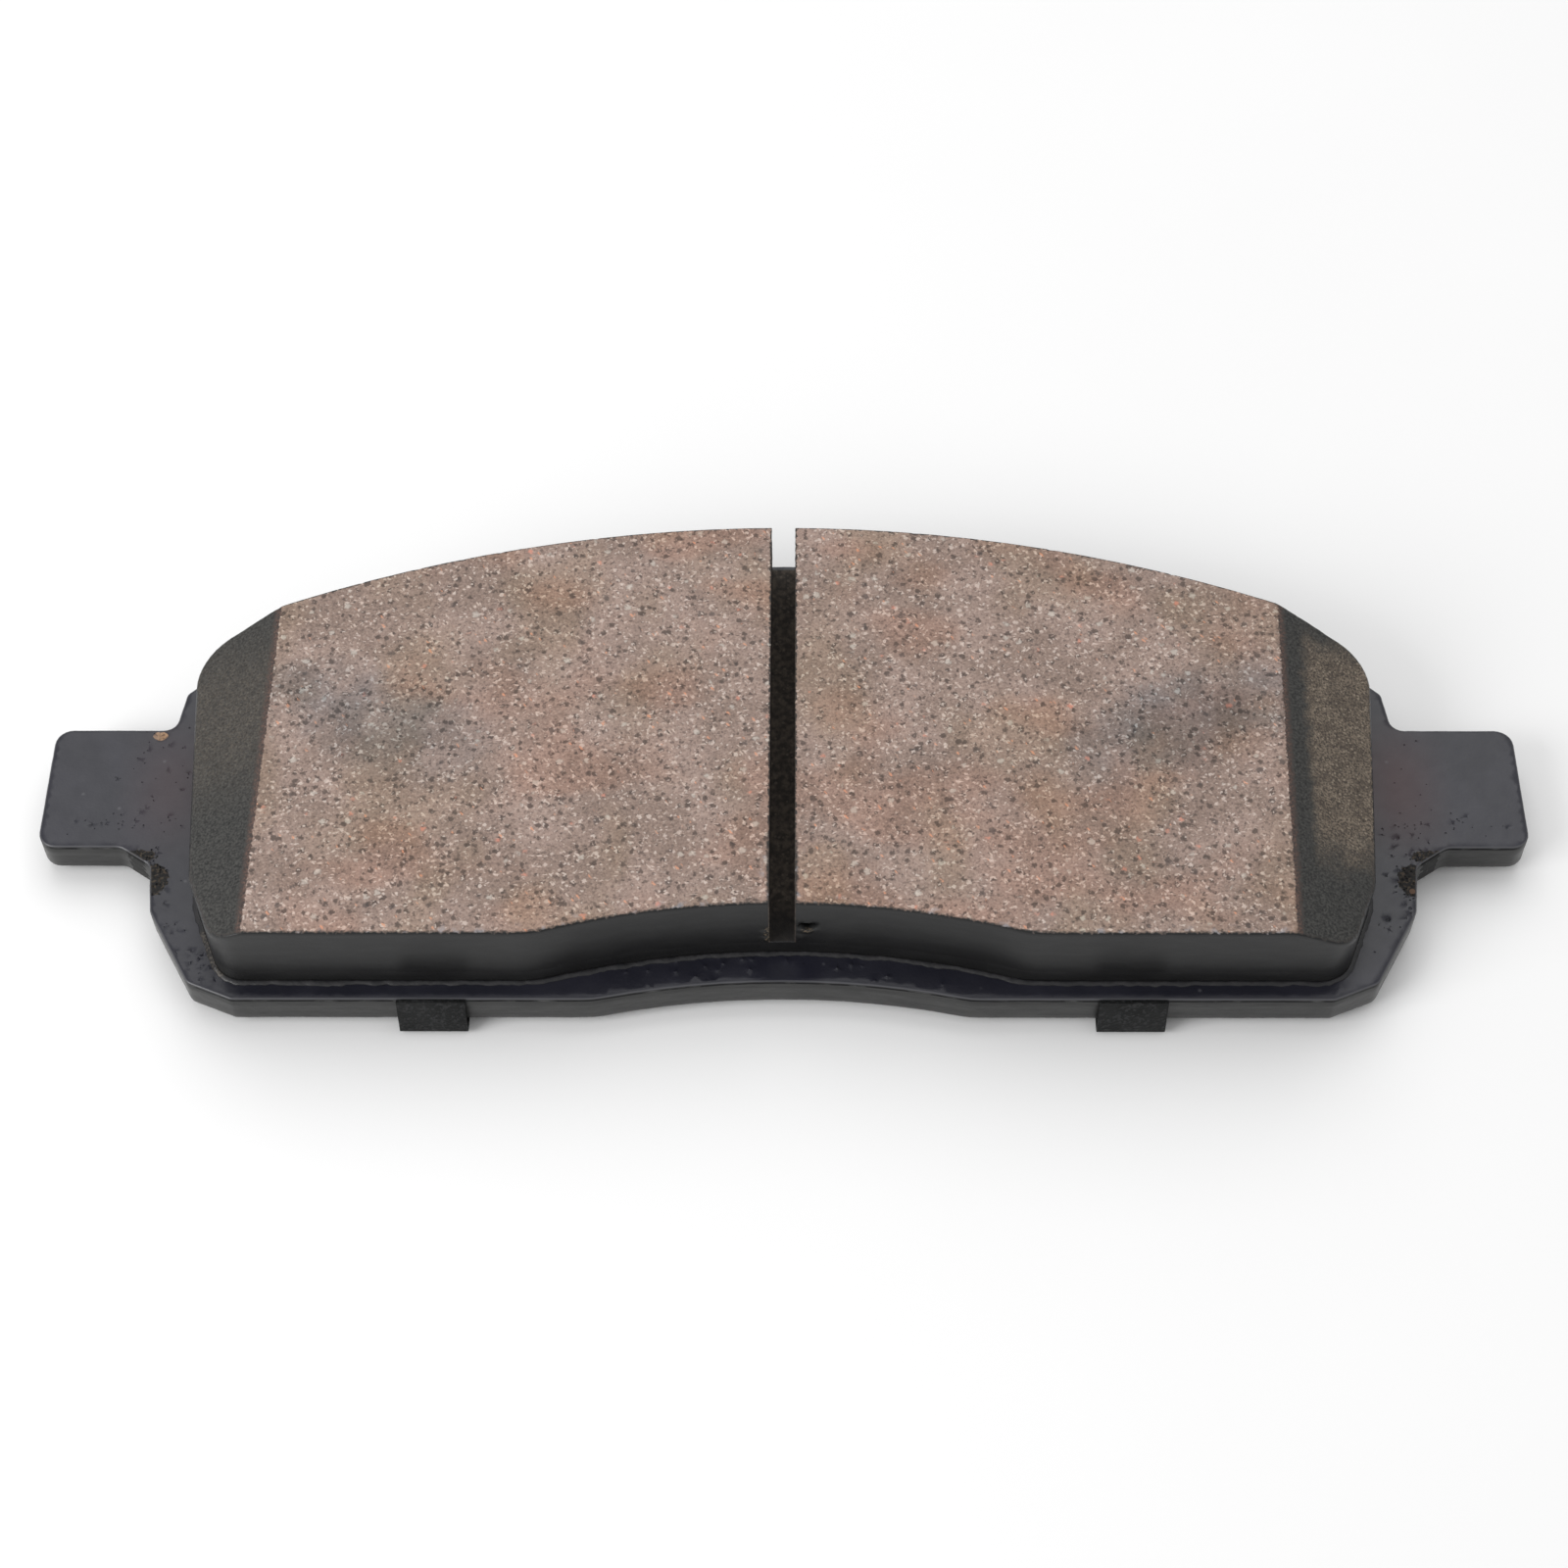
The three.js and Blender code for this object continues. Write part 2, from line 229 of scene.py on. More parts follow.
class Shell:
    """A closed body, built from rings of points and the flat caps between them, in mm."""

    def __init__(self):
        self.mesh = bmesh.new()

    def ring(self, loop, z):
        """Vertices along a loop. z is one height, or one for each point."""
        heights = np.broadcast_to(z, len(loop))
        return [self.mesh.verts.new((x, y, h)) for (x, y), h in zip(loop, heights)]

    def bridge(self, lower, upper):
        """Joins two rings with a band that faces outward, where the lower ring runs anticlockwise."""
        for i in range(len(lower)):
            j = (i + 1) % len(lower)
            self.mesh.faces.new((lower[i], lower[j], upper[j], upper[i]))

    def stack(self, rings):
        """Joins each ring to the next."""
        for lower, upper in zip(rings, rings[1:]):
            self.bridge(lower, upper)

    def cap(self, outer, holes, step, height=None, marks=(), lines=(), seed=1, up=True):
        """Fills inside the outer ring and around the holes with a mesh of about the given step."""
        rings = [outer, *holes]
        loops = [np.array([v.co.xy[:] for v in ring]) for ring in rings]
        edges, points = [], []
        for loop in loops:
            first = len(points)
            points += [Vector(p) for p in loop]
            edges += [(first + i, first + (i + 1) % len(loop)) for i in range(len(loop))]
        fixed = len(points)
        for line in lines:
            edges += [(len(points) + i, len(points) + i + 1) for i in range(len(line) - 1)]
            points += [Vector(p) for p in line]
        inner = interior(loops, step, marks, lines, seed)
        found, _, faces, origins, _, _ = delaunay_2d_cdt(
            points + [Vector(p) for p in inner], edges, [], 1, 1e-5, True
        )
        flat = np.array([p[:] for p in found])
        level = [v.co.z for ring in rings for v in ring]
        tops = height(flat) if height else np.full(len(flat), level[0])
        verts = []
        for p, z, sources in zip(flat, tops, origins):
            on_ring = [s for s in sources if s < fixed]
            verts.append(self.at(rings, on_ring[0]) if on_ring else self.mesh.verts.new((*p, z)))
        middles = np.array([flat[list(face)].mean(0) for face in faces])
        filled = inside(middles, loops[0])
        for loop in loops[1:]:
            filled &= ~inside(middles, loop)
        for face, wanted in zip(faces, filled):
            if wanted:
                corners = [verts[i] for i in (face if up else reversed(face))]
                self.mesh.faces.new(corners)

    @staticmethod
    def at(rings, index):
        """The vertex with this place in the rings, counted through them all."""
        for ring in rings:
            if index < len(ring):
                return ring[index]
            index -= len(ring)

    def finish(self, name, materials, sharp=38):
        """Makes the object. materials are (material, test) pairs; the last whose test holds is used."""
        mesh = bpy.data.meshes.new(name)
        self.mesh.normal_update()
        for face in self.mesh.faces:
            face.smooth = True
            middle = face.calc_center_median()
            for i, (_, test) in enumerate(materials):
                if test is None or test(middle, face.normal):
                    face.material_index = i
        self.mesh.transform(Matrix.Scale(MM, 4))
        self.mesh.to_mesh(mesh)
        self.mesh.free()
        for material, _ in materials:
            mesh.materials.append(material)
        mesh.set_sharp_from_angle(angle=math.radians(sharp))
        made = bpy.data.objects.new(name, mesh)
        bpy.context.scene.collection.objects.link(made)
        return made


GRID_SHAKE = 0.22  # how far a grid point may stray, in steps
MARK_RINGS = ((1, 10), (0.6, 8), (0.25, 4))  # share of a mark's radius, and how many points
MARK_SHAKE = 0.16  # how uneven a mark's outline is, as a share of its radius
CLEAR_OF_EDGE = 0.3  # in steps
CLEAR_OF_LINE = 0.35


def interior(loops, step, marks, lines, seed):
    """Points for the inside of a cap: an uneven grid, with rings of points around each mark."""
    low, high = loops[0].min(0), loops[0].max(0)
    draw = np.random.default_rng(seed)
    rows = np.arange(low[1], high[1], step * math.sqrt(3) / 2)
    columns = np.arange(low[0], high[0], step)
    grid = np.array([(x + step * 0.5 * (j % 2), y) for j, y in enumerate(rows) for x in columns])
    grid += draw.uniform(-GRID_SHAKE, GRID_SHAKE, grid.shape) * step
    for x, y, radius, _ in marks:
        grid = grid[np.hypot(grid[:, 0] - x, grid[:, 1] - y) > radius + step * CLEAR_OF_LINE]
    rings = [grid]
    for x, y, radius, _ in marks:
        for share, count in MARK_RINGS:
            turn = draw.uniform(0, 2 * math.pi)
            angle = turn + np.arange(count) * 2 * math.pi / count
            wobble = radius * share * (1 + draw.uniform(-MARK_SHAKE, MARK_SHAKE, count))
            rings.append(np.stack([x + wobble * np.cos(angle), y + wobble * np.sin(angle)], 1))
    points = np.concatenate(rings)
    points = points[inside(points, loops[0])]
    for hole in loops[1:]:
        points = points[~inside(points, hole)]
    for loop in loops:
        points = points[edge_distance(points, loop) > step * CLEAR_OF_EDGE]
    for line in lines:
        ahead = np.array(line)
        near = np.min(np.hypot(*(points[:, None] - ahead[None]).transpose(2, 0, 1)), axis=1)
        points = points[near > step * CLEAR_OF_LINE]
    return points


def marked(points, marks):
    """How far the marks lower the surface at each point."""
    drop = np.zeros(len(points))
    for x, y, radius, depth in marks:
        share = np.hypot(points[:, 0] - x, points[:, 1] - y) / radius
        drop += depth * np.clip(1 - share**2, 0, 1) ** 1.5
    return drop


def rough(point, size):
    """Smooth noise between about -1 and 1, whose lumps are about size mm across."""
    return noise.noise(Vector(point) / size)


def roughened(shell, amounts, share):
    """Sinks every vertex by noise. amounts are (lump size, height) pairs, and share scales them."""
    shell.mesh.normal_update()
    moves = []
    for vert in shell.mesh.verts:
        depth = sum(high * (1 + rough(vert.co, size)) for size, high in amounts)
        moves.append(vert.normal * depth * share(vert.co))
    for vert, move in zip(shell.mesh.verts, moves):
        vert.co -= move


def with_field(made, name, values):
    """Stores one number for each of the piece's vertices, for its material to read."""
    made.data.attributes.new(name, "FLOAT", "POINT").data.foreach_set("value", values)


def flat_points(made):
    """The piece's vertices seen from above, in mm."""
    points = np.empty(len(made.data.vertices) * 3)
    made.data.vertices.foreach_get("co", points)
    return points.reshape(-1, 3)[:, :2] / MM


def ramp_up(value, low, high):
    """0 below low, 1 above high, and smooth between them."""
    share = np.clip((np.asarray(value, float) - low) / (high - low), 0, 1)
    return share * share * (3 - 2 * share)


def settled(made, node):
    """Puts a piece on the pad's one body, in place of its CAD node, which it hides."""
    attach(made, "root")
    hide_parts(node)
    return made


# ------------------------------------------------------------------ friction blocks

CHAMFER_SLOPE = math.tan(math.radians(24))
WALL_STEP = 0.45  # between the points of a side wall
FACE_STEP = 0.52  # between the points of the ground face
CRISP_EDGE = 0.22  # radius of the top edge where it was sawn or moulded
END_WEAR = 0.2  # what wear adds to that radius at the pad's ends
CORNER_WEAR = 0.6  # and at the lower corners
EDGE_RINGS = (0.05, 0.13, 0.27, 0.5)  # how far in the rings that round the top edge lie
# A pit in the right block's near wall, beside the slot, as place, half width, half height, depth.
WALL_PIT = (Vector((3.0, -26.1, 12.1)), 1.15, 0.6, 0.9)
# Crumbs that stick to the near wall beside the slot, as place, radius and height.
WALL_CRUMBS = (
    (Vector((3.1, -26.1, 11.1)), 0.55, 0.28),
    (Vector((-1.9, -26.0, 9.3)), 0.6, 0.35),
    (Vector((-2.1, -26.0, 10.4)), 0.4, 0.25),
    (Vector((2.2, -26.0, 9.5)), 0.45, 0.22),
)


def ridge_of(node):
    """The straight line where the friction face meets the end chamfer, as its lower and upper ends."""
    corners = without_straight_points(outlines(node, FACE)[0])
    edges = [(a, b) for a, b in zip(corners, np.roll(corners, -1, 0)) if math.dist(a, b) > 20]
    ends = max(edges, key=lambda edge: abs(edge[0][0] + edge[1][0]))
    return sorted(ends, key=lambda end: end[1])


def past_ridge(points, ridge):
    """How far each point lies beyond the ridge, towards the pad's end."""
    lower, upper = ridge
    along = (points[:, 1] - lower[1]) / (upper[1] - lower[1])
    ridge_x = lower[0] + along * (upper[0] - lower[0])
    return (points[:, 0] - ridge_x) * math.copysign(1, lower[0])


def edge_radius(points):
    """How round the block's top edge is: crisp where it was sawn or moulded, worn at its ends."""
    end = ramp_up(abs(points[:, 0]), 67.5, 72)
    low_end = ramp_up(abs(points[:, 0]), 65.5, 69.5) * ramp_up(-points[:, 1], 12, 22)
    far = ramp_up(points[:, 1], 9, 15)
    return CRISP_EDGE + END_WEAR * end * (1 - far) + CORNER_WEAR * low_end


def block_marks(side, ridge):
    """Pits torn from the ground face, and a few chips along the ridge."""
    low, high = (2.2, -30), (76, 33)
    pits = scattered(11 + side, 620, low, high, (0.2, 0.62), (0.05, 0.17))
    chips = []
    draw = random.Random(31 + side)
    for _ in range(26):
        along = draw.random()
        x = abs(ridge[0][0] + along * (ridge[1][0] - ridge[0][0])) + draw.uniform(-0.1, 0.5)
        y = ridge[0][1] + along * (ridge[1][1] - ridge[0][1])
        chips.append((x, y, draw.uniform(0.25, 0.6), draw.uniform(0.08, 0.22)))
    return [(side * x, y, radius, depth) for x, y, radius, depth in spaced(chips + pits)]


def wall_relief(vert):
    """How far a point of the near wall stands out, from the pit and the crumbs beside the slot."""
    centre, half_width, half_height, depth = WALL_PIT
    away = vert - centre
    if abs(away.y) > 1.5:
        return 0
    share = (away.x / half_width) ** 2 + (away.z / half_height) ** 2
    relief = -depth * max(0, 1 - share) ** 0.6 if share < 1 else 0
    for centre, radius, height in WALL_CRUMBS:
        away = vert - centre
        share = (away.x**2 + away.z**2) / radius**2
        if share < 1 and abs(away.y) < 1.5:
            relief += height * (1 - share) * (1 + 0.5 * rough(vert, 0.3))
    return relief


def friction_block(name, side):
    """A friction block. side is -1 for the left one and 1 for the right one."""
    ridge = ridge_of(name)
    base = resampled(outlines(name, UNDERLAYER_TOP)[0], WALL_STEP)
    marks = block_marks(side, ridge)

    def top(points):
        beyond = past_ridge(points, ridge)
        height = FACE - CHAMFER_SLOPE * np.maximum(beyond, 0)
        radius = edge_radius(points)
        reach = np.clip(radius - edge_distance(points, base), 0, radius)
        height -= radius - np.sqrt(radius**2 - reach**2)
        return height - marked(points, marks)

    shell = Shell()
    rim = top(base)
    count = round((FACE - UNDERLAYER_TOP) / WALL_STEP)
    rise = rim - UNDERLAYER_TOP
    rings = [shell.ring(base, UNDERLAYER_TOP + rise * i / count) for i in range(count + 1)]
    ragged = np.array([1 + 0.55 * rough((x, y, 0), 0.7) for x, y in base])
    # Near the square corners by the slot the rings stay further out, so that they don't cross themselves.
    slot_edge = base[abs(base[:, 0]) < SLOT_HALF + 0.01]
    corners = slot_edge[[slot_edge[:, 1].argmin(), slot_edge[:, 1].argmax()]]
    from_corner = np.min([np.hypot(*(base - corner).T) for corner in corners], axis=0)
    ragged = np.minimum(ragged, np.maximum(0.6, 1.4 * from_corner))
    for distance in EDGE_RINGS:
        loop = inset(base, distance * ragged)
        rings.append(shell.ring(loop, top(loop)))
    shell.stack(rings)
    steps = round(math.dist(*ridge) / 0.4)
    draw = random.Random(51 + side)
    wander = [draw.uniform(-0.05, 0.05) for _ in range(steps + 1)]
    line = [ridge[0] + (ridge[1] - ridge[0]) * i / steps + (wander[i], 0) for i in range(2, steps - 1)]
    shell.cap(rings[-1], [], FACE_STEP, top, marks, [line], seed=3 + side)
    shell.cap(rings[0], [], 4, seed=5 + side, up=False)

    shell.mesh.normal_update()
    slot_side = SLOT_HALF + 0.35
    for vert in shell.mesh.verts:
        on_top = vert.normal.z > 0.5
        above = min(1, (vert.co.z - UNDERLAYER_TOP) / 0.5)
        if abs(vert.co.x) < slot_side and not on_top:
            amount = above * (0.1 * rough(vert.co, 0.8) + 0.05 * rough(vert.co, 0.3) - 0.05)
        elif on_top and vert.co.z < FACE - 0.25:
            amount = 0.035 * rough(vert.co, 1.3) + 0.03 * rough(vert.co, 0.45)
        elif on_top:
            amount = 0.012 * rough(vert.co, 0.7) - 0.012
        else:
            amount = wall_relief(vert.co) * above + 0.02 * rough(vert.co, 5)
        vert.co += vert.normal * amount
        vert.co.z = min(vert.co.z, FACE)

    made = shell.finish(name + "_ground", [(friction_mix, None)], sharp=50)
    points = flat_points(made)
    with_field(made, "beyond_ridge", past_ridge(points, ridge))
    on_top = np.array([v.co.z / MM for v in made.data.vertices]) > top(points) - 0.4
    with_field(made, "from_edge", edge_distance(points, base) * on_top)
    return settled(made, name)


# ------------------------------------------------------------------ underlayer


def underlayer():
    """The layer under both blocks, with the slot's rough floor and the plugs in the moulding holes."""
    outline = resampled(outlines("underlayer", UNDERLAYER_TOP)[0], WALL_STEP)
    plugs = [resampled(loop, 1) for loop in outlines("underlayer", PLUG_BOTTOM)]
    shell = Shell()
    count = 5
    thickness = UNDERLAYER_TOP - UNDERLAYER_BOTTOM
    rings = [shell.ring(outline, UNDERLAYER_BOTTOM + thickness * i / count) for i in range(count + 1)]
    shell.stack(rings)
    roots = [shell.ring(loop, UNDERLAYER_BOTTOM) for loop in plugs]
    for loop, root in zip(plugs, roots):
        tip = shell.ring(loop, PLUG_BOTTOM)
        shell.bridge(tip, root)
        shell.cap(tip, [], 1.5, up=False)
    shell.cap(rings[0], roots, 4, up=False)

    def floor(points):
        in_slot = ramp_up(SLOT_HALF + 0.25 - abs(points[:, 0]), 0, 0.4)
        bumps = [0.14 * rough((x, y, 0), 1.1) + 0.08 * rough((x, y, 0), 0.4) for x, y in points]
        return UNDERLAYER_TOP + in_slot * (np.array(bumps) - 0.12)

    low, high = outline[abs(outline[:, 0]) < 3][:, 1].min(), outline[:, 1].max()
    stops = np.arange(low + 0.5, high - 0.4, 0.45)
    lines = [[(x, y) for y in stops] for x in (-1.7, -1.25, -0.8, -0.4, 0, 0.4, 0.8, 1.25, 1.7)]
    shell.cap(rings[-1], [], 3, floor, lines=lines)
    made = shell.finish("underlayer_moulding", [(lining_foot, None)], sharp=50)
    with_field(made, "from_edge", edge_distance(flat_points(made), outline))
    return settled(made, "underlayer")


# ------------------------------------------------------------------ bonding resin

BEAD_REACH = 0.6  # from the lining's wall
BEAD_HEIGHT = 0.26
WALL_GAP = 0.02  # between the bead and the wall above it
CRUMBLY_CORNER = (-71, -27)  # the lining's left near corner, where the bead is broken up


def bonding_bead():
    """The thin resin layer under the lining, squeezed out into a rough bead around its foot."""
    outline = resampled(outlines("underlayer", UNDERLAYER_TOP)[0], WALL_STEP)
    holes = [resampled(loop, 1) for loop in outlines("bonding_adhesive", UNDERLAYER_BOTTOM)[1:]]
    spread = np.array([1 + 0.3 * rough((x, y, 2), 2.1) + 0.3 * rough((x, y, 5), 0.6) for x, y in outline])
    swell = np.array([1 + 0.25 * rough((x, y, 8), 1.6) + 0.3 * rough((x, y, 9), 0.5) for x, y in outline])
    crumbly = np.exp(-((outline - CRUMBLY_CORNER) ** 2).sum(axis=1) / 14)
    swell += crumbly * np.array([0.25 + 0.9 * rough((x, y, 4), 0.5) for x, y in outline])
    profile = ((1, 0), (0.97, 0.25), (0.8, 0.55), (0.52, 0.85), (0.28, 1), (0.1, 1.06))
    shell = Shell()
    rings = []
    for reach, rise in profile:
        loop = inset(outline, -BEAD_REACH * reach * spread)
        rings.append(shell.ring(loop, PLATE_FRONT + BEAD_HEIGHT * rise * swell))
    rings.append(shell.ring(inset(outline, -WALL_GAP), PLATE_FRONT + BEAD_HEIGHT * swell))
    rings.append(shell.ring(inset(outline, -WALL_GAP), UNDERLAYER_BOTTOM))
    shell.stack(rings)
    upper = [shell.ring(loop, UNDERLAYER_BOTTOM) for loop in holes]
    lower = [shell.ring(loop, PLATE_FRONT) for loop in holes]
    for top_ring, bottom_ring in zip(upper, lower):
        shell.bridge(top_ring, bottom_ring)
    shell.cap(rings[-1], upper, 5)
    shell.cap(rings[0], lower, 5, up=False)
    made = shell.finish("bonding_bead", [(resin, None)], sharp=60)
    return settled(made, "bonding_adhesive")


# ------------------------------------------------------------------ backing plate

FRONT_EDGE = 0.25
BACK_EDGE = 0.8
SHEAR_LINE = 0.06  # depth of the fine groove below the front edge


# Pits in the paint, as seed, count, centre, spread, radii and depths.
PIT_CLUSTERS = (
    (61, 60, (-78.3, -15.0), (0.9, 1.4), (0.1, 0.28), (0.06, 0.2)),
    (62, 70, (77.2, -16.0), (1.1, 2.2), (0.1, 0.26), (0.06, 0.18)),
    (63, 26, (-82.5, -7.4), (4.2, 1.0), (0.07, 0.16), (0.04, 0.09)),
    (64, 30, (-80.5, -1.0), (3.0, 3.4), (0.07, 0.16), (0.04, 0.09)),
    (65, 26, (83.0, -7.6), (4.0, 0.9), (0.07, 0.16), (0.04, 0.09)),
    (66, 14, (79.6, -3.0), (2.0, 4.0), (0.07, 0.16), (0.04, 0.09)),
    (67, 12, (74.5, -23.0), (1.4, 2.4), (0.08, 0.18), (0.04, 0.1)),
    (71, 34, (80.8, -12.0), (1.9, 0.7), (0.09, 0.22), (0.05, 0.14)),
    (72, 22, (-79.8, -12.2), (1.2, 0.8), (0.09, 0.2), (0.05, 0.12)),
    (68, 10, (-75.4, -20.0), (0.7, 5.0), (0.07, 0.16), (0.04, 0.09)),
)
RUST_PIT = (-80.0, 6.1, 0.75, 0.22)  # x, y, radius and depth
CORNER_PIT = (74.4, -21.2, 0.5, 0.25)


def plate_marks():
    """Pits near the notches and ear roots, bumps under the slot, and grit by the lining's corner."""
    pits = []
    for cluster in PIT_CLUSTERS:
        pits += clustered(*cluster)
    pits += [RUST_PIT, CORNER_PIT]
    bumps = scattered(69, 46, (-22, -31), (24, -25), (0.2, 0.42), (-0.14, -0.05))
    grit = clustered(70, 40, (-71.5, -27.0), (2.2, 2.6), (0.1, 0.22), (-0.1, 0.08))
    return spaced(pits + bumps + grit)


def arc_profile(radius, level, up):
    """(inset, z) pairs round an edge, from the wall to the flat face at the given level."""
    turns = [math.radians(a) for a in (0, 22, 45, 68, 90)]
    sign = -1 if up else 1
    return [(radius * (1 - math.cos(a)), level + sign * radius * (1 - math.sin(a))) for a in turns]


def backing_plate():
    """The stamped steel plate, rounded at the back edge and lightly at the front one."""
    outer, *holes = outlines("backing_plate", PLATE_FRONT)
    outer = resampled(outer, 0.6)
    holes = [resampled(loop, 1) for loop in holes]
    marks = plate_marks()
    groove = PLATE_FRONT - FRONT_EDGE
    profile = arc_profile(BACK_EDGE, PLATE_BACK, up=False)[::-1]
    profile += [(0, PLATE_BACK + BACK_EDGE + 0.6 * i) for i in range(1, 5)]
    profile += [(0, groove - 0.5), (SHEAR_LINE, groove - 0.4)]
    profile += [(SHEAR_LINE, groove - 0.28), (0, groove - 0.18)]
    profile += arc_profile(FRONT_EDGE, PLATE_FRONT, up=True)
    shell = Shell()
    rings = [shell.ring(inset(outer, distance), z) for distance, z in profile]
    shell.stack(rings)
    back = [shell.ring(loop, PLATE_BACK) for loop in holes]
    front = [shell.ring(loop, PLATE_FRONT) for loop in holes]
    for back_ring, front_ring in zip(back, front):
        shell.bridge(front_ring, back_ring)
    shell.cap(rings[0], back, 2.2, seed=7, up=False)

    def surface(points):
        return PLATE_FRONT - marked(points, marks)

    shell.cap(rings[-1], front, 0.85, surface, marks, seed=8)

    def share(point):
        flat = not PLATE_BACK + 0.01 <= point.z <= PLATE_FRONT - 0.01
        return 0.35 if flat else 1

    roughened(shell, ((2.2, 0.03), (0.7, 0.018)), share)
    made = shell.finish("backing_plate_stamping", [(plate_paint, None)], sharp=50)
    with_field(made, "from_edge", edge_distance(flat_points(made), outer))
    return settled(made, "backing_plate")


# ------------------------------------------------------------------ shim


def softened(node, name, material, radius):
    """A copy of a CAD node with rounded edges."""
    shell = Shell()
    shell.mesh.from_mesh(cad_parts[node].data)
    bmesh.ops.remove_doubles(shell.mesh, verts=shell.mesh.verts, dist=1e-6)
    bmesh.ops.scale(shell.mesh, vec=(1 / MM,) * 3, verts=shell.mesh.verts)
    bmesh.ops.dissolve_limit(
        shell.mesh, angle_limit=math.radians(0.5), verts=shell.mesh.verts, edges=shell.mesh.edges
    )
    shell.mesh.normal_update()
    paired = [e for e in shell.mesh.edges if len(e.link_faces) == 2]
    edges = [e for e in paired if e.calc_face_angle() > math.radians(35)]
    bmesh.ops.bevel(
        shell.mesh, geom=edges, offset=radius, segments=3, profile=0.5, affect="EDGES", clamp_overlap=True
    )
    bmesh.ops.triangulate(shell.mesh, faces=[f for f in shell.mesh.faces if len(f.verts) > 4])
    made = shell.finish(name, [(material, None)], sharp=30)
    return settled(made, node)


# ------------------------------------------------------------------ materials


GRAIN_BLUR = 0.1  # how far a grain's edge fades to either side, in cells


class Finish:
    """A material under construction. Lengths in its textures are in mm on the piece."""

    def __init__(self, name, **shader_values):
        self.material = bpy.data.materials.new(name)
        self.material.use_nodes = True
        self.nodes = self.material.node_tree.nodes
        self.links = self.material.node_tree.links
        self.shader = self.nodes["Principled BSDF"]
        for socket, value in shader_values.items():
            self.shader.inputs[socket].default_value = value
        place = self.nodes.new("ShaderNodeTexCoord").outputs["Object"]
        self.place = self.stretched(place, (1 / MM,) * 3)

    def plug(self, node, socket, value):
        """Links or sets an input, by whether the value is another node's output or a number."""
        if isinstance(value, bpy.types.NodeSocket):
            self.links.new(value, node.inputs[socket])
        elif value is not None:
            node.inputs[socket].default_value = value

    def stretched(self, source, scale, turn=(0, 0, 0)):
        """The place scaled, and then turned."""
        node = self.nodes.new("ShaderNodeMapping")
        self.plug(node, "Vector", source)
        node.inputs["Scale"].default_value = scale
        node.inputs["Rotation"].default_value = turn
        return node.outputs["Vector"]

    def noise(self, size, detail=3, source=None):
        """Cloudy noise from 0 to 1, whose lumps are about size mm across."""
        node = self.nodes.new("ShaderNodeTexNoise")
        self.plug(node, "Vector", source or self.place)
        node.inputs["Scale"].default_value = 1 / size
        node.inputs["Detail"].default_value = detail
        return node.outputs["Fac"]

    def cells(self, size, source=None):
        """Distance from the nearest cell's centre, in cells, and two random numbers for that cell."""
        node = self.nodes.new("ShaderNodeTexVoronoi")
        self.plug(node, "Vector", source or self.place)
        node.inputs["Scale"].default_value = 1 / size
        split = self.nodes.new("ShaderNodeSeparateColor")
        self.links.new(node.outputs["Color"], split.inputs["Color"])
        return node.outputs["Distance"], split.outputs["Red"], split.outputs["Green"]

    def calc(self, kind, a, b=None, c=None):
        """The result of a Math node of this kind."""
        node = self.nodes.new("ShaderNodeMath")
        node.operation = kind
        for i, value in enumerate((a, b, c)):
            self.plug(node, i, value)
        return node.outputs["Value"]

    def times(self, a, b):
        return self.calc("MULTIPLY", a, b)

    def scaled(self, value, factor, offset):
        """The value times the factor, plus the offset."""
        return self.calc("MULTIPLY_ADD", value, factor, offset)

    def opposite(self, share):
        """1 less the share."""
        return self.calc("SUBTRACT", 1.0, share)

    def step(self, value, low, high):
        """0 at low and 1 at high, smooth between them. low may be the larger."""
        node = self.nodes.new("ShaderNodeMapRange")
        node.interpolation_type = "SMOOTHSTEP"
        self.plug(node, "Value", value)
        if low > high:
            low, high = high, low
            node.inputs["To Min"].default_value = 1
            node.inputs["To Max"].default_value = 0
        node.inputs["From Min"].default_value = low
        node.inputs["From Max"].default_value = high
        return node.outputs["Result"]

    def mix(self, share, a, b, blend="MIX"):
        """Colour a where the share is 0, and b where it is 1."""
        node = self.nodes.new("ShaderNodeMix")
        node.data_type = "RGBA"
        node.blend_type = blend
        for socket, value in (("Factor_Float", share), ("A_Color", a), ("B_Color", b)):
            found = next(i for i in node.inputs if i.identifier == socket)
            if isinstance(value, bpy.types.NodeSocket):
                self.links.new(value, found)
            else:
                found.default_value = (*value, 1) if isinstance(value, tuple) else value
        return next(o for o in node.outputs if o.identifier == "Result_Color")

    def grains(self, size, share, small, large, source=None):
        """A mask of separate grains: the share of the cells that hold one, and its radius in cells."""
        distance, chance, spread = self.cells(size, source)
        radius = self.scaled(spread, large - small, small)
        edge = self.calc("SUBTRACT", distance, radius)
        shape = self.step(edge, GRAIN_BLUR, -GRAIN_BLUR)
        return self.times(shape, self.calc("LESS_THAN", chance, share))

    def warped(self, size, amount, source=None):
        """The place pushed about by noise, so that round grains turn ragged."""
        node = self.nodes.new("ShaderNodeTexNoise")
        self.plug(node, "Vector", source or self.place)
        node.inputs["Scale"].default_value = 1 / size
        node.inputs["Detail"].default_value = 1
        push = self.nodes.new("ShaderNodeVectorMath")
        push.operation = "MULTIPLY_ADD"
        self.plug(push, 0, node.outputs["Color"])
        push.inputs[1].default_value = (amount,) * 3
        self.plug(push, 2, source or self.place)
        return push.outputs["Vector"]

    def field(self, name):
        """A number that the mesh stores for each vertex."""
        node = self.nodes.new("ShaderNodeAttribute")
        node.attribute_name = name
        return node.outputs["Fac"]

    def axis(self, name):
        """The place along X, Y or Z, in mm."""
        node = self.nodes.new("ShaderNodeSeparateXYZ")
        self.plug(node, 0, self.place)
        return node.outputs[name]

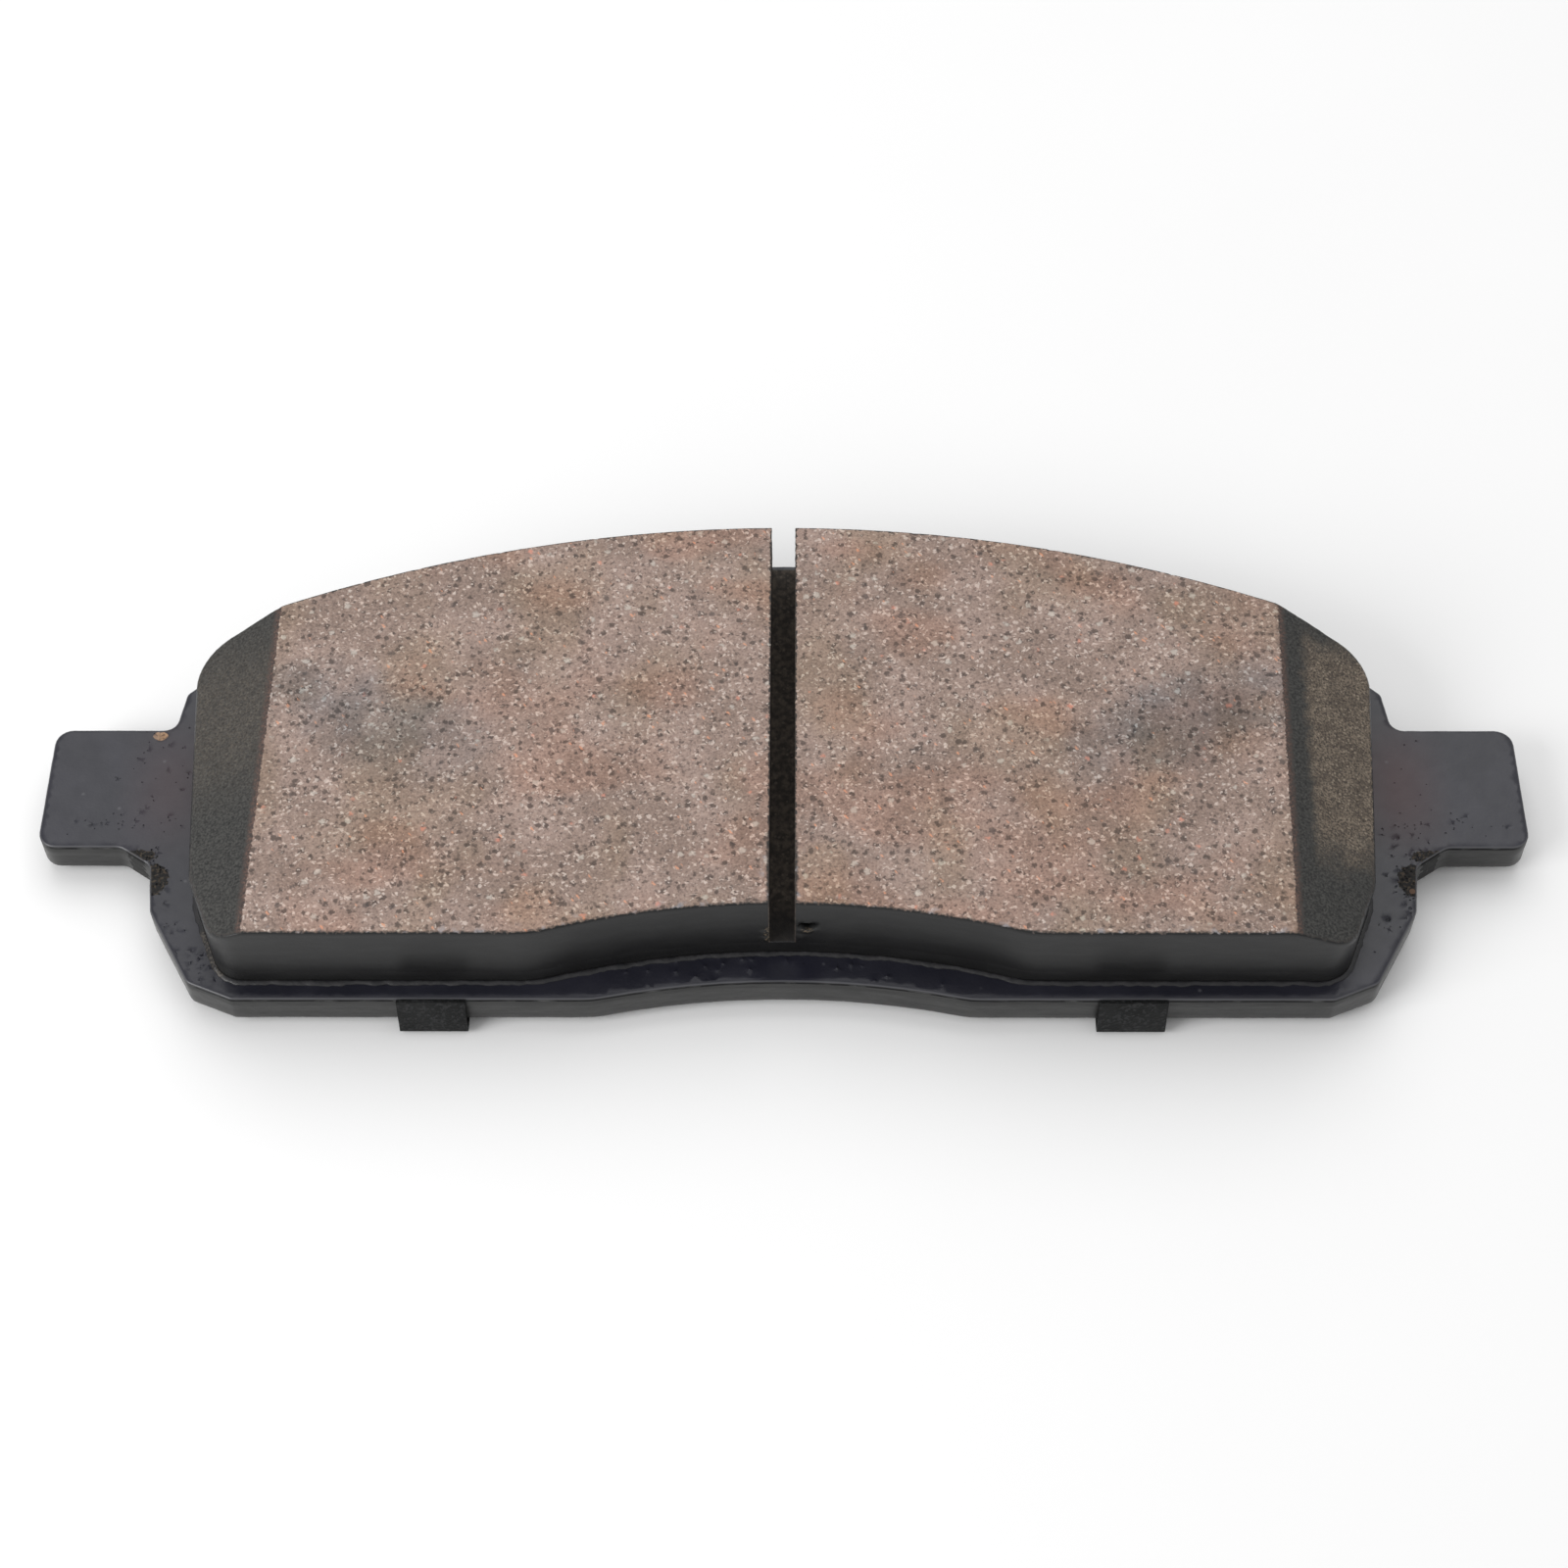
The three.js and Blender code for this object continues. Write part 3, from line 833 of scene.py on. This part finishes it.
    def facing(self, name):
        """How far the surface faces along X, Y or Z."""
        node = self.nodes.new("ShaderNodeSeparateXYZ")
        self.plug(node, 0, self.nodes.new("ShaderNodeNewGeometry").outputs["Normal"])
        return node.outputs[name]

    def bump(self, height, depth, under=None):
        """The surface's direction with a fine relief, depth mm deep, on top of the one under it."""
        node = self.nodes.new("ShaderNodeBump")
        node.inputs["Distance"].default_value = depth * MM
        self.plug(node, "Height", height)
        self.plug(node, "Normal", under)
        return node.outputs["Normal"]

    def done(self, color, roughness, normal=None):
        """Connects the results and gives the material."""
        self.plug(self.shader, "Base Color", color)
        self.plug(self.shader, "Roughness", roughness)
        if normal:
            self.plug(self.shader, "Normal", normal)
        return self.material


def oval(f, axes, middle, half_sizes):
    """1 at the middle of an oval across two axes, fading to 0 at its edge."""
    squares = []
    for name, centre, half in zip(axes, middle, half_sizes):
        away = f.calc("ADD", f.axis(name), -centre)
        squares.append(f.calc("POWER", f.calc("DIVIDE", away, half), 2))
    return f.step(f.calc("ADD", *squares), 1, 0.15)


def both_sides(f, middle, half_sizes):
    """Two ovals, the second a mirror image of the first about the pad's middle."""
    x, y = middle
    left = oval(f, "XY", (-x, y), half_sizes)
    return f.calc("MAXIMUM", left, oval(f, "XY", middle, half_sizes))


def side_paint(f):
    """The thin black paint on the lining's walls."""
    sheen = f.noise(2.2, 2, f.stretched(f.place, (0.5, 0.5, 2.2)))
    return f.mix(f.step(sheen, 0.35, 0.7), (0.007, 0.007, 0.0072), (0.011, 0.011, 0.0112))


def friction_colors(f):
    """The ground composite: a warm base with dark grains, pale flakes and a little copper."""
    base = f.mix(f.step(f.noise(7, 4), 0.36, 0.64), (0.285, 0.205, 0.168), (0.385, 0.28, 0.237))
    fine = f.noise(0.3, 3)
    base = f.mix(f.times(f.step(fine, 0.49, 0.28), 0.6), base, (0.12, 0.086, 0.07))
    base = f.mix(f.times(f.step(fine, 0.5, 0.74), 0.45), base, (0.56, 0.44, 0.38))
    _, tone, _ = f.cells(0.4, f.warped(0.3, 0.3))
    base = f.mix(f.times(tone, 0.35), base, (0.15, 0.112, 0.098))

    ragged = f.warped(0.4, 0.75)
    crumbly = f.warped(0.25, 0.5, f.stretched(f.place, (1, 1, 1), (0.5, 0.9, 0.2)))
    along = f.warped(0.4, 0.85, f.stretched(f.place, (1, 2.2, 1.6)))
    rising = f.stretched(f.stretched(f.place, (1, 1, 1), (0.2, 0, 0.9)), (1, 2.4, 1.6))
    rising = f.warped(0.4, 0.8, rising)
    falling = f.stretched(f.stretched(f.place, (1, 1, 1), (0, 0.2, -0.7)), (1, 2.3, 1.6))
    falling = f.warped(0.4, 0.8, falling)
    layers = (
        # cell size, share, radii, place, strength, colour
        (0.55, 0.45, 0.15, 0.45, crumbly, 0.6, (0.11, 0.08, 0.068)),
        (0.95, 0.6, 0.15, 0.44, ragged, 0.8, (0.078, 0.057, 0.049)),
        (1.5, 0.3, 0.12, 0.32, ragged, 0.7, (0.07, 0.057, 0.054)),
        (0.85, 0.17, 0.1, 0.4, along, 0.75, (0.62, 0.5, 0.44)),
        (1.0, 0.17, 0.1, 0.38, rising, 0.75, (0.62, 0.5, 0.43)),
        (0.9, 0.14, 0.1, 0.36, falling, 0.7, (0.6, 0.5, 0.44)),
        (0.55, 0.26, 0.15, 0.42, ragged, 0.75, (0.64, 0.54, 0.48)),
        (0.8, 0.16, 0.14, 0.4, crumbly, 0.7, (0.63, 0.52, 0.46)),
        (1.5, 0.16, 0.14, 0.3, ragged, 0.75, (0.58, 0.51, 0.45)),
        (1.4, 0.1, 0.1, 0.26, rising, 0.75, (0.72, 0.34, 0.21)),
        (1.8, 0.12, 0.08, 0.2, ragged, 0.7, (0.68, 0.28, 0.2)),
    )
    color = base
    for size, share, small, large, source, strength, tint in layers:
        mask = f.grains(size, share, small, large, source)
        color = f.mix(f.times(mask, strength), color, tint)

    red_zone = f.step(f.noise(15, 1.5, f.stretched(f.place, (1, 1.5, 1), (0.4, 0, 0.3))), 0.46, 0.66)
    color = f.mix(f.times(red_zone, 0.75), color, (1, 0.86, 0.79), "MULTIPLY")
    tan_zone = f.step(f.noise(14, 1.5, f.stretched(f.place, (1.3, 1, 1), (0, 0.7, 1.1))), 0.46, 0.68)
    color = f.mix(f.times(tan_zone, 0.7), color, (0.92, 0.9, 0.8), "MULTIPLY")
    color = f.mix(heat_tint(f), color, (0.6, 0.7, 0.79), "MULTIPLY")
    height = f.scaled(fine, 1.2, tone)
    return color, height


HEAT_COSINE = 0.93  # of the heat patch's tilt, about 20 degrees
HEAT_SINE = 0.34
HEAT_ALONG = 47.0  # these two place the patch's middle, along and across its tilt
HEAT_ASIDE = 16.2
HEAT_HALF_LENGTH = 16
HEAT_HALF_WIDTH = 7


def heat_tint(f):
    """The blue-grey patch that heat leaves across the middle of each block's outer half."""
    across = f.calc("ABSOLUTE", f.axis("X"))
    along = f.scaled(across, HEAT_COSINE, -HEAT_ALONG)
    along = f.scaled(f.axis("Y"), HEAT_SINE, along)
    aside = f.scaled(across, -HEAT_SINE, HEAT_ASIDE)
    aside = f.scaled(f.axis("Y"), HEAT_COSINE, aside)
    along = f.calc("POWER", f.calc("DIVIDE", along, HEAT_HALF_LENGTH), 2)
    aside = f.calc("POWER", f.calc("DIVIDE", aside, HEAT_HALF_WIDTH), 2)
    reach = f.calc("ADD", along, aside)
    reach = f.scaled(f.noise(5, 3), 2.2, reach)
    strength = f.scaled(f.step(f.axis("X"), -1, 1), 0.12, 0.88)
    return f.times(f.step(reach, 2.7, 0.7), strength)


def make_friction_mix():
    """One finish for a block: ground face, burnt chamfer, painted walls and the raw sides of the slot."""
    f = Finish("friction_mix")
    ground, height = friction_colors(f)
    fine = f.noise(0.3, 3)
    coarse = f.noise(0.9, 3)
    beyond = f.field("beyond_ridge")
    from_edge = f.field("from_edge")

    speck = f.grains(0.5, 0.45, 0.2, 0.45)
    tan_speck = f.grains(0.42, 0.4, 0.2, 0.45, f.stretched(f.place, (1, 1, 1), (0.8, 0.2, 0.5)))
    burnt = f.mix(f.step(f.noise(0.3, 4), 0.3, 0.7), (0.014, 0.014, 0.0135), (0.058, 0.057, 0.053))
    burnt = f.mix(f.times(speck, 0.45), burnt, (0.02, 0.02, 0.02))
    brown = f.mix(f.step(f.noise(0.27, 4), 0.32, 0.68), (0.045, 0.035, 0.028), (0.2, 0.16, 0.12))
    brown = f.mix(f.times(f.step(f.noise(2.4, 4), 0.46, 0.62), 0.45), brown, (0.05, 0.038, 0.03))
    brown = f.mix(f.times(tan_speck, 0.6), brown, (0.3, 0.25, 0.19))
    brown = f.mix(f.times(speck, 0.5), brown, (0.04, 0.034, 0.029))
    right = f.step(f.axis("X"), -1, 1)
    outer = f.step(f.scaled(f.noise(1.6, 3), 2.2, beyond), 3.4, 5.2)
    wander = f.noise(4, 3)
    low = f.step(f.scaled(wander, 9, f.axis("Y")), -17, -8)
    high = f.step(f.scaled(wander, 7, f.axis("Y")), 20.5, 15)
    worn_right = f.times(f.times(outer, right), f.times(low, high))
    middle = f.step(f.calc("ABSOLUTE", f.calc("ADD", f.axis("Y"), -3.0)), 17, 3)
    worn_left = f.times(f.times(middle, f.opposite(right)), 0.25)
    chamfer = f.mix(f.calc("ADD", worn_right, worn_left), burnt, brown)

    fringe = f.scaled(f.noise(0.45, 4), -0.8, f.calc("ADD", beyond, 0.4))
    reddish = f.mix(f.step(fine, 0.35, 0.6), (0.115, 0.07, 0.056), (0.05, 0.038, 0.034))
    near_ridge = f.mix(f.step(fringe, 0.25, 1.1), reddish, chamfer)
    top = f.mix(f.step(fringe, -0.08, 0.08), ground, near_ridge)

    paint = side_paint(f)
    dust = f.times(f.grains(0.9, 0.008, 0.05, 0.1), 0.4)
    paint = f.mix(dust, paint, (0.06, 0.055, 0.05))
    sawn = f.mix(f.step(coarse, 0.3, 0.7), (0.024, 0.019, 0.016), (0.06, 0.046, 0.036))
    sawn = f.mix(f.times(speck, 0.35), sawn, (0.1, 0.08, 0.064))
    in_slot = f.step(f.calc("ABSOLUTE", f.axis("X")), SLOT_HALF + 0.22, SLOT_HALF + 0.08)
    rubble = f.mix(f.step(f.noise(0.28, 3), 0.46, 0.6), (0.008, 0.007, 0.006), (0.11, 0.085, 0.058))
    # The debris and the painted shade of the pit have no limit in Y, so they show on the far wall as
    # well, where there is no pit.
    beside = oval(f, "XZ", (-1.7, 10.2), (0.8, 2.4))
    below = oval(f, "XZ", (3.1, 11.2), (1.1, 0.5))
    debris = f.step(f.scaled(f.noise(0.4, 3), 1.2, f.calc("ADD", beside, below)), 1.15, 1.4)
    # hole marks painted shade: a near-black oval where the pit lies in the right block's near wall.
    hole = oval(f, "XZ", WALL_PIT[0].xz, (1.6, 0.85))
    wall = f.mix(debris, f.mix(in_slot, paint, sawn), rubble)
    # The pit's painted shade, near black.
    wall = f.mix(hole, wall, (0.002, 0.002, 0.002))

    lip = f.scaled(f.noise(0.5, 4), -0.9, from_edge)
    lip = f.calc("MAXIMUM", lip, f.calc("ADD", from_edge, -0.6))
    on_top = f.times(f.step(lip, -0.32, -0.2), f.step(from_edge, 0.01, 0.05))
    worn = f.times(f.step(lip, 0.12, -0.22), f.step(f.axis("Y"), -14, -18))
    top = f.mix(f.times(worn, 0.75), top, (0.04, 0.034, 0.031))
    near = f.times(f.step(from_edge, 1.8, 0.3), f.step(f.axis("Y"), -16, -20))
    smear = f.times(near, f.step(f.noise(1.7, 4), 0.55, 0.68))
    smear = f.times(smear, f.step(beyond, 0.3, -0.3))
    top = f.mix(f.times(smear, 0.5), top, (0.36, 0.36, 0.39))
    color = f.mix(on_top, wall, top)
    painted = f.times(f.opposite(on_top), f.opposite(in_slot))
    shine = f.scaled(painted, -0.1, 0.5)
    # The pit's painted shade has no shine.
    f.plug(f.shader, "Specular IOR Level", f.times(shine, f.opposite(hole)))
    roughness = f.scaled(painted, -0.5, 0.88)
    grain = f.scaled(fine, 0.6, height)
    normal = f.bump(f.times(grain, f.scaled(painted, -0.93, 1.0)), 0.035)
    return f.done(color, roughness, normal)


def make_lining_foot():
    """The underlayer: painted outside, and raw on the floor of the slot."""
    f = Finish("lining_foot")
    paint = side_paint(f)
    raw = f.mix(f.step(f.noise(0.8, 3), 0.35, 0.7), (0.03, 0.024, 0.02), (0.09, 0.072, 0.056))
    raw = f.mix(f.times(f.grains(0.5, 0.3, 0.2, 0.45), 0.5), raw, (0.14, 0.115, 0.09))
    inner = f.step(f.field("from_edge"), 0.05, 0.3)
    near_end = f.step(f.scaled(f.noise(1.2, 3), 3, f.axis("Y")), -17, -22)
    raw = f.mix(f.times(near_end, 0.85), raw, (0.01, 0.009, 0.009))
    normal = f.bump(f.noise(0.35, 3), 0.03)
    return f.done(f.mix(inner, paint, raw), f.scaled(inner, 0.5, 0.4), normal)


# Middles of the marks on the plate. The first three are the right one of a mirrored pair.
EAR_ROOT = (77.5, -1.5)
NOTCH = (78.1, -15.6)
NOTCH_TOP = (80.6, -12.1)
RUST_SPOT = (-80.0, 6.3)
SMALL_RUST_SPOT = (77.9, -17.2)
BELOW_SLOT = (0.6, -28.5)


def ear_root_tint(f):
    """Where heat has tinted the paint at the ear roots. The right one is the stronger."""
    across = f.calc("ABSOLUTE", f.axis("X"))
    root = f.step(f.calc("ABSOLUTE", f.calc("ADD", across, -EAR_ROOT[0])), 8, 0)
    along = f.calc("ABSOLUTE", f.calc("ADD", f.axis("Y"), -EAR_ROOT[1]))
    root = f.times(root, f.step(along, 13, 1))
    strength = f.scaled(f.step(f.axis("X"), -1, 1), 0.45, 0.45)
    return f.times(root, strength)


def make_plate_paint():
    """Satin blue-black powder coat, with heat-tinted ear roots, crusted notches and two rusty spots, a
    painted highlight on the front edge and painted shade in the groove below it.
    """
    f = Finish("plate_paint")
    tone = f.mix(f.step(f.noise(7, 3), 0.35, 0.68), (0.011, 0.0112, 0.0185), (0.017, 0.017, 0.026))
    root = ear_root_tint(f)
    tone = f.mix(root, tone, (0.056, 0.03, 0.034))
    speck = f.grains(1.3, 0.14, 0.05, 0.13)
    tone = f.mix(f.times(speck, 0.6), tone, (0.004, 0.004, 0.005))
    light = f.grains(2.4, 0.1, 0.03, 0.06)
    tone = f.mix(f.times(light, 0.5), tone, (0.16, 0.16, 0.17))

    notch_top = f.times(both_sides(f, NOTCH_TOP, (3.2, 1.3)), 0.7)
    notch = f.calc("MAXIMUM", both_sides(f, NOTCH, (2.3, 3.0)), notch_top)
    reach = f.scaled(f.noise(0.6, 4), 1.5, notch)
    pitted = f.step(reach, 1.15, 1.3)
    crust = f.mix(f.step(f.noise(0.4, 3), 0.48, 0.66), (0.004, 0.0035, 0.0035), (0.05, 0.036, 0.023))
    color = f.mix(pitted, tone, crust)
    rust = f.scaled(f.noise(0.6, 3), 0.7, oval(f, "XY", RUST_SPOT, (1.25, 0.85)))
    rust_tone = f.mix(f.step(f.noise(0.45, 3), 0.42, 0.6), (0.13, 0.075, 0.045), (0.33, 0.2, 0.115))
    color = f.mix(f.step(rust, 0.75, 0.95), color, rust_tone)
    small_rust = oval(f, "XY", SMALL_RUST_SPOT, (0.5, 0.5))
    color = f.mix(f.step(small_rust, 0.3, 0.7), color, (0.09, 0.05, 0.03))

    streaks = f.noise(1.6, 3, f.stretched(f.place, (0.35, 0.35, 3.5)))
    wall = f.step(f.facing("Z"), 0.55, 0.25)
    side = f.mix(f.step(streaks, 0.3, 0.7), (0.012, 0.012, 0.0118), (0.027, 0.027, 0.0262))
    color = f.mix(wall, color, side)
    # Painted highlight: a light grey line along the rounded front edge of the plate's face.
    rim = f.times(f.step(f.field("from_edge"), 0.34, 0.12), f.step(f.facing("Z"), 0.35, 0.7))
    color = f.mix(f.times(rim, 0.85), color, (0.085, 0.085, 0.092))
    # Painted shade: a near-black band in the fine groove just below the plate's front edge.
    groove_shade = f.times(f.step(f.axis("Z"), 5.3, 5.4), f.step(f.axis("Z"), 5.8, 5.7))
    groove_shade = f.times(groove_shade, f.step(f.noise(3, 3), 0.25, 0.5))
    color = f.mix(groove_shade, color, (0.002, 0.002, 0.003))

    shine = f.scaled(root, -0.15, 0.5)
    below_slot = oval(f, "XY", BELOW_SLOT, (5.5, 4.5))
    below_slot = f.times(below_slot, f.opposite(wall))
    shine = f.scaled(below_slot, -0.4, shine)
    # The groove's painted shade has almost no shine.
    shine = f.times(shine, f.scaled(groove_shade, -0.9, 1.0))
    f.plug(f.shader, "Specular IOR Level", shine)
    roughness = f.scaled(f.noise(1.8, 3), 0.16, 0.26)
    roughness = f.scaled(pitted, 0.5, roughness)
    peel = f.bump(f.noise(1.1, 2), 0.035)
    return f.done(color, roughness, f.bump(f.noise(0.3, 2), 0.006, peel))


def make_resin():
    """The dark resin bead, dusty and broken up at one corner."""
    f = Finish("resin")
    tone = f.mix(f.step(f.noise(1.2, 3), 0.35, 0.7), (0.008, 0.008, 0.01), (0.018, 0.017, 0.019))
    crumbs = f.mix(f.step(f.noise(0.35, 3), 0.45, 0.6), (0.012, 0.01, 0.009), (0.07, 0.06, 0.05))
    corner = oval(f, "XY", CRUMBLY_CORNER, (5.5, 5))
    tone = f.mix(f.step(f.scaled(f.noise(0.8, 3), 0.8, corner), 0.75, 1.1), tone, crumbs)
    normal = f.bump(f.noise(0.4, 3), 0.05)
    return f.done(tone, f.scaled(f.noise(0.9, 3), 0.3, 0.22), normal)


def make_coated(name, low, high, grain):
    """Black rubber-coated sheet with a fine leathery grain and faint scuffs."""
    f = Finish(name)
    tone = f.mix(f.step(f.noise(5, 4), 0.35, 0.7), low, high)
    scuff = f.step(f.noise(1.4, 4, f.stretched(f.place, (0.3, 2.4, 1), (0, 0, 0.5))), 0.62, 0.78)
    tone = f.mix(f.times(scuff, 0.3), tone, (0.07, 0.07, 0.072))
    distance, chance, _ = f.cells(grain)
    tone = f.mix(f.times(f.step(chance, 0.6, 1), 0.4), tone, (0.05, 0.05, 0.052))
    normal = f.bump(distance, 0.05)
    f.shader.inputs["Specular IOR Level"].default_value = 0.2
    return f.done(tone, f.scaled(f.noise(2, 3), 0.25, 0.5), normal)


def make_damping():
    """The shim's dark viscoelastic layer."""
    f = Finish("damping_layer")
    tone = f.mix(f.step(f.noise(1.5, 4), 0.35, 0.7), (0.02, 0.017, 0.015), (0.04, 0.033, 0.028))
    return f.done(tone, f.scaled(f.noise(0.8, 3), 0.2, 0.7), f.bump(f.noise(0.5, 3), 0.02))


def make_bare_steel():
    """The shim's inner sheet, with fine rolling lines."""
    f = Finish("cold_rolled_steel", Metallic=1.0)
    rolled = f.noise(0.6, 4, f.stretched(f.place, (0.05, 2.2, 1)))
    tone = f.mix(f.step(rolled, 0.3, 0.7), (0.3, 0.31, 0.32), (0.42, 0.43, 0.44))
    return f.done(tone, f.scaled(rolled, 0.25, 0.25), f.bump(rolled, 0.01))


def make_adhesive():
    """The shim's amber adhesive film."""
    f = Finish("adhesive_film")
    tone = f.mix(f.step(f.noise(3, 4), 0.35, 0.7), (0.4, 0.35, 0.24), (0.5, 0.45, 0.32))
    return f.done(tone, f.scaled(f.noise(1.2, 3), 0.25, 0.35), f.bump(f.noise(0.7, 3), 0.02))


friction_mix = make_friction_mix()
lining_foot = make_lining_foot()
resin = make_resin()
plate_paint = make_plate_paint()
tab_coat = make_coated("tab_coat", (0.006, 0.0065, 0.0065), (0.012, 0.0125, 0.0125), 0.32)
shim_rubber = make_coated("shim_rubber", (0.012, 0.012, 0.013), (0.024, 0.024, 0.026), 0.45)

# ------------------------------------------------------------------ the pad

friction_block("friction_block_left", -1)
friction_block("friction_block_right", 1)
underlayer()
bonding_bead()
backing_plate()
softened("shim_clip_sheet", "clip_sheet_pressing", tab_coat, 0.09)
softened("shim_outer_coating", "outer_coating", shim_rubber, 0.04)
for node, make in (
    ("shim_damping_layer", make_damping),
    ("shim_inner_sheet", make_bare_steel),
    ("shim_adhesive_film", make_adhesive),
):
    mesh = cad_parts[node].data
    mesh.materials.clear()
    mesh.materials.append(make())

# ------------------------------------------------------------------ floor and light


FLOOR_HALF = 1.5  # metres, like the lights' places and sizes
FLOOR_LEVEL = -0.0001  # just under the pad, so that the two faces don't coincide


def make_floor():
    """A large pale floor."""
    mesh = bmesh.new()
    signs = ((-1, -1), (1, -1), (1, 1), (-1, 1))
    corners = [(x * FLOOR_HALF, y * FLOOR_HALF, FLOOR_LEVEL) for x, y in signs]
    mesh.faces.new([mesh.verts.new(corner) for corner in corners])
    data = bpy.data.meshes.new("floor")
    mesh.to_mesh(data)
    mesh.free()
    f = Finish("pale_floor")
    data.materials.append(f.done(f.mix(f.noise(60, 2), (0.9, 0.9, 0.9), (0.93, 0.93, 0.93)), 0.9))
    floor = bpy.data.objects.new("floor", data)
    bpy.context.scene.collection.objects.link(floor)


def make_light(name, place, size, power):
    """A soft square light, size metres across, that faces the pad."""
    light = bpy.data.lights.new(name, "AREA")
    light.size = size
    light.energy = power
    lamp = bpy.data.objects.new(name, light)
    turn = Vector(place).to_track_quat("Z", "Y").to_matrix().to_4x4()
    lamp.matrix_world = Matrix.Translation(place) @ turn
    bpy.context.scene.collection.objects.link(lamp)


def make_sky(strength):
    """An even white light from all round."""
    world = bpy.data.worlds.new("studio")
    world.use_nodes = True
    background = world.node_tree.nodes["Background"]
    background.inputs["Color"].default_value = (1, 1, 1, 1)
    background.inputs["Strength"].default_value = strength
    bpy.context.scene.world = world


make_floor()
make_sky(0.6)
make_light("overhead", (0, 0.62, 0.95), 1.1, 5.2)
make_light("key", (-0.55, -0.32, 0.4), 0.4, 2.9)
bpy.context.scene.view_settings.view_transform = "Standard"

# ------------------------------------------------------------------ final update

bpy.context.view_layer.update()
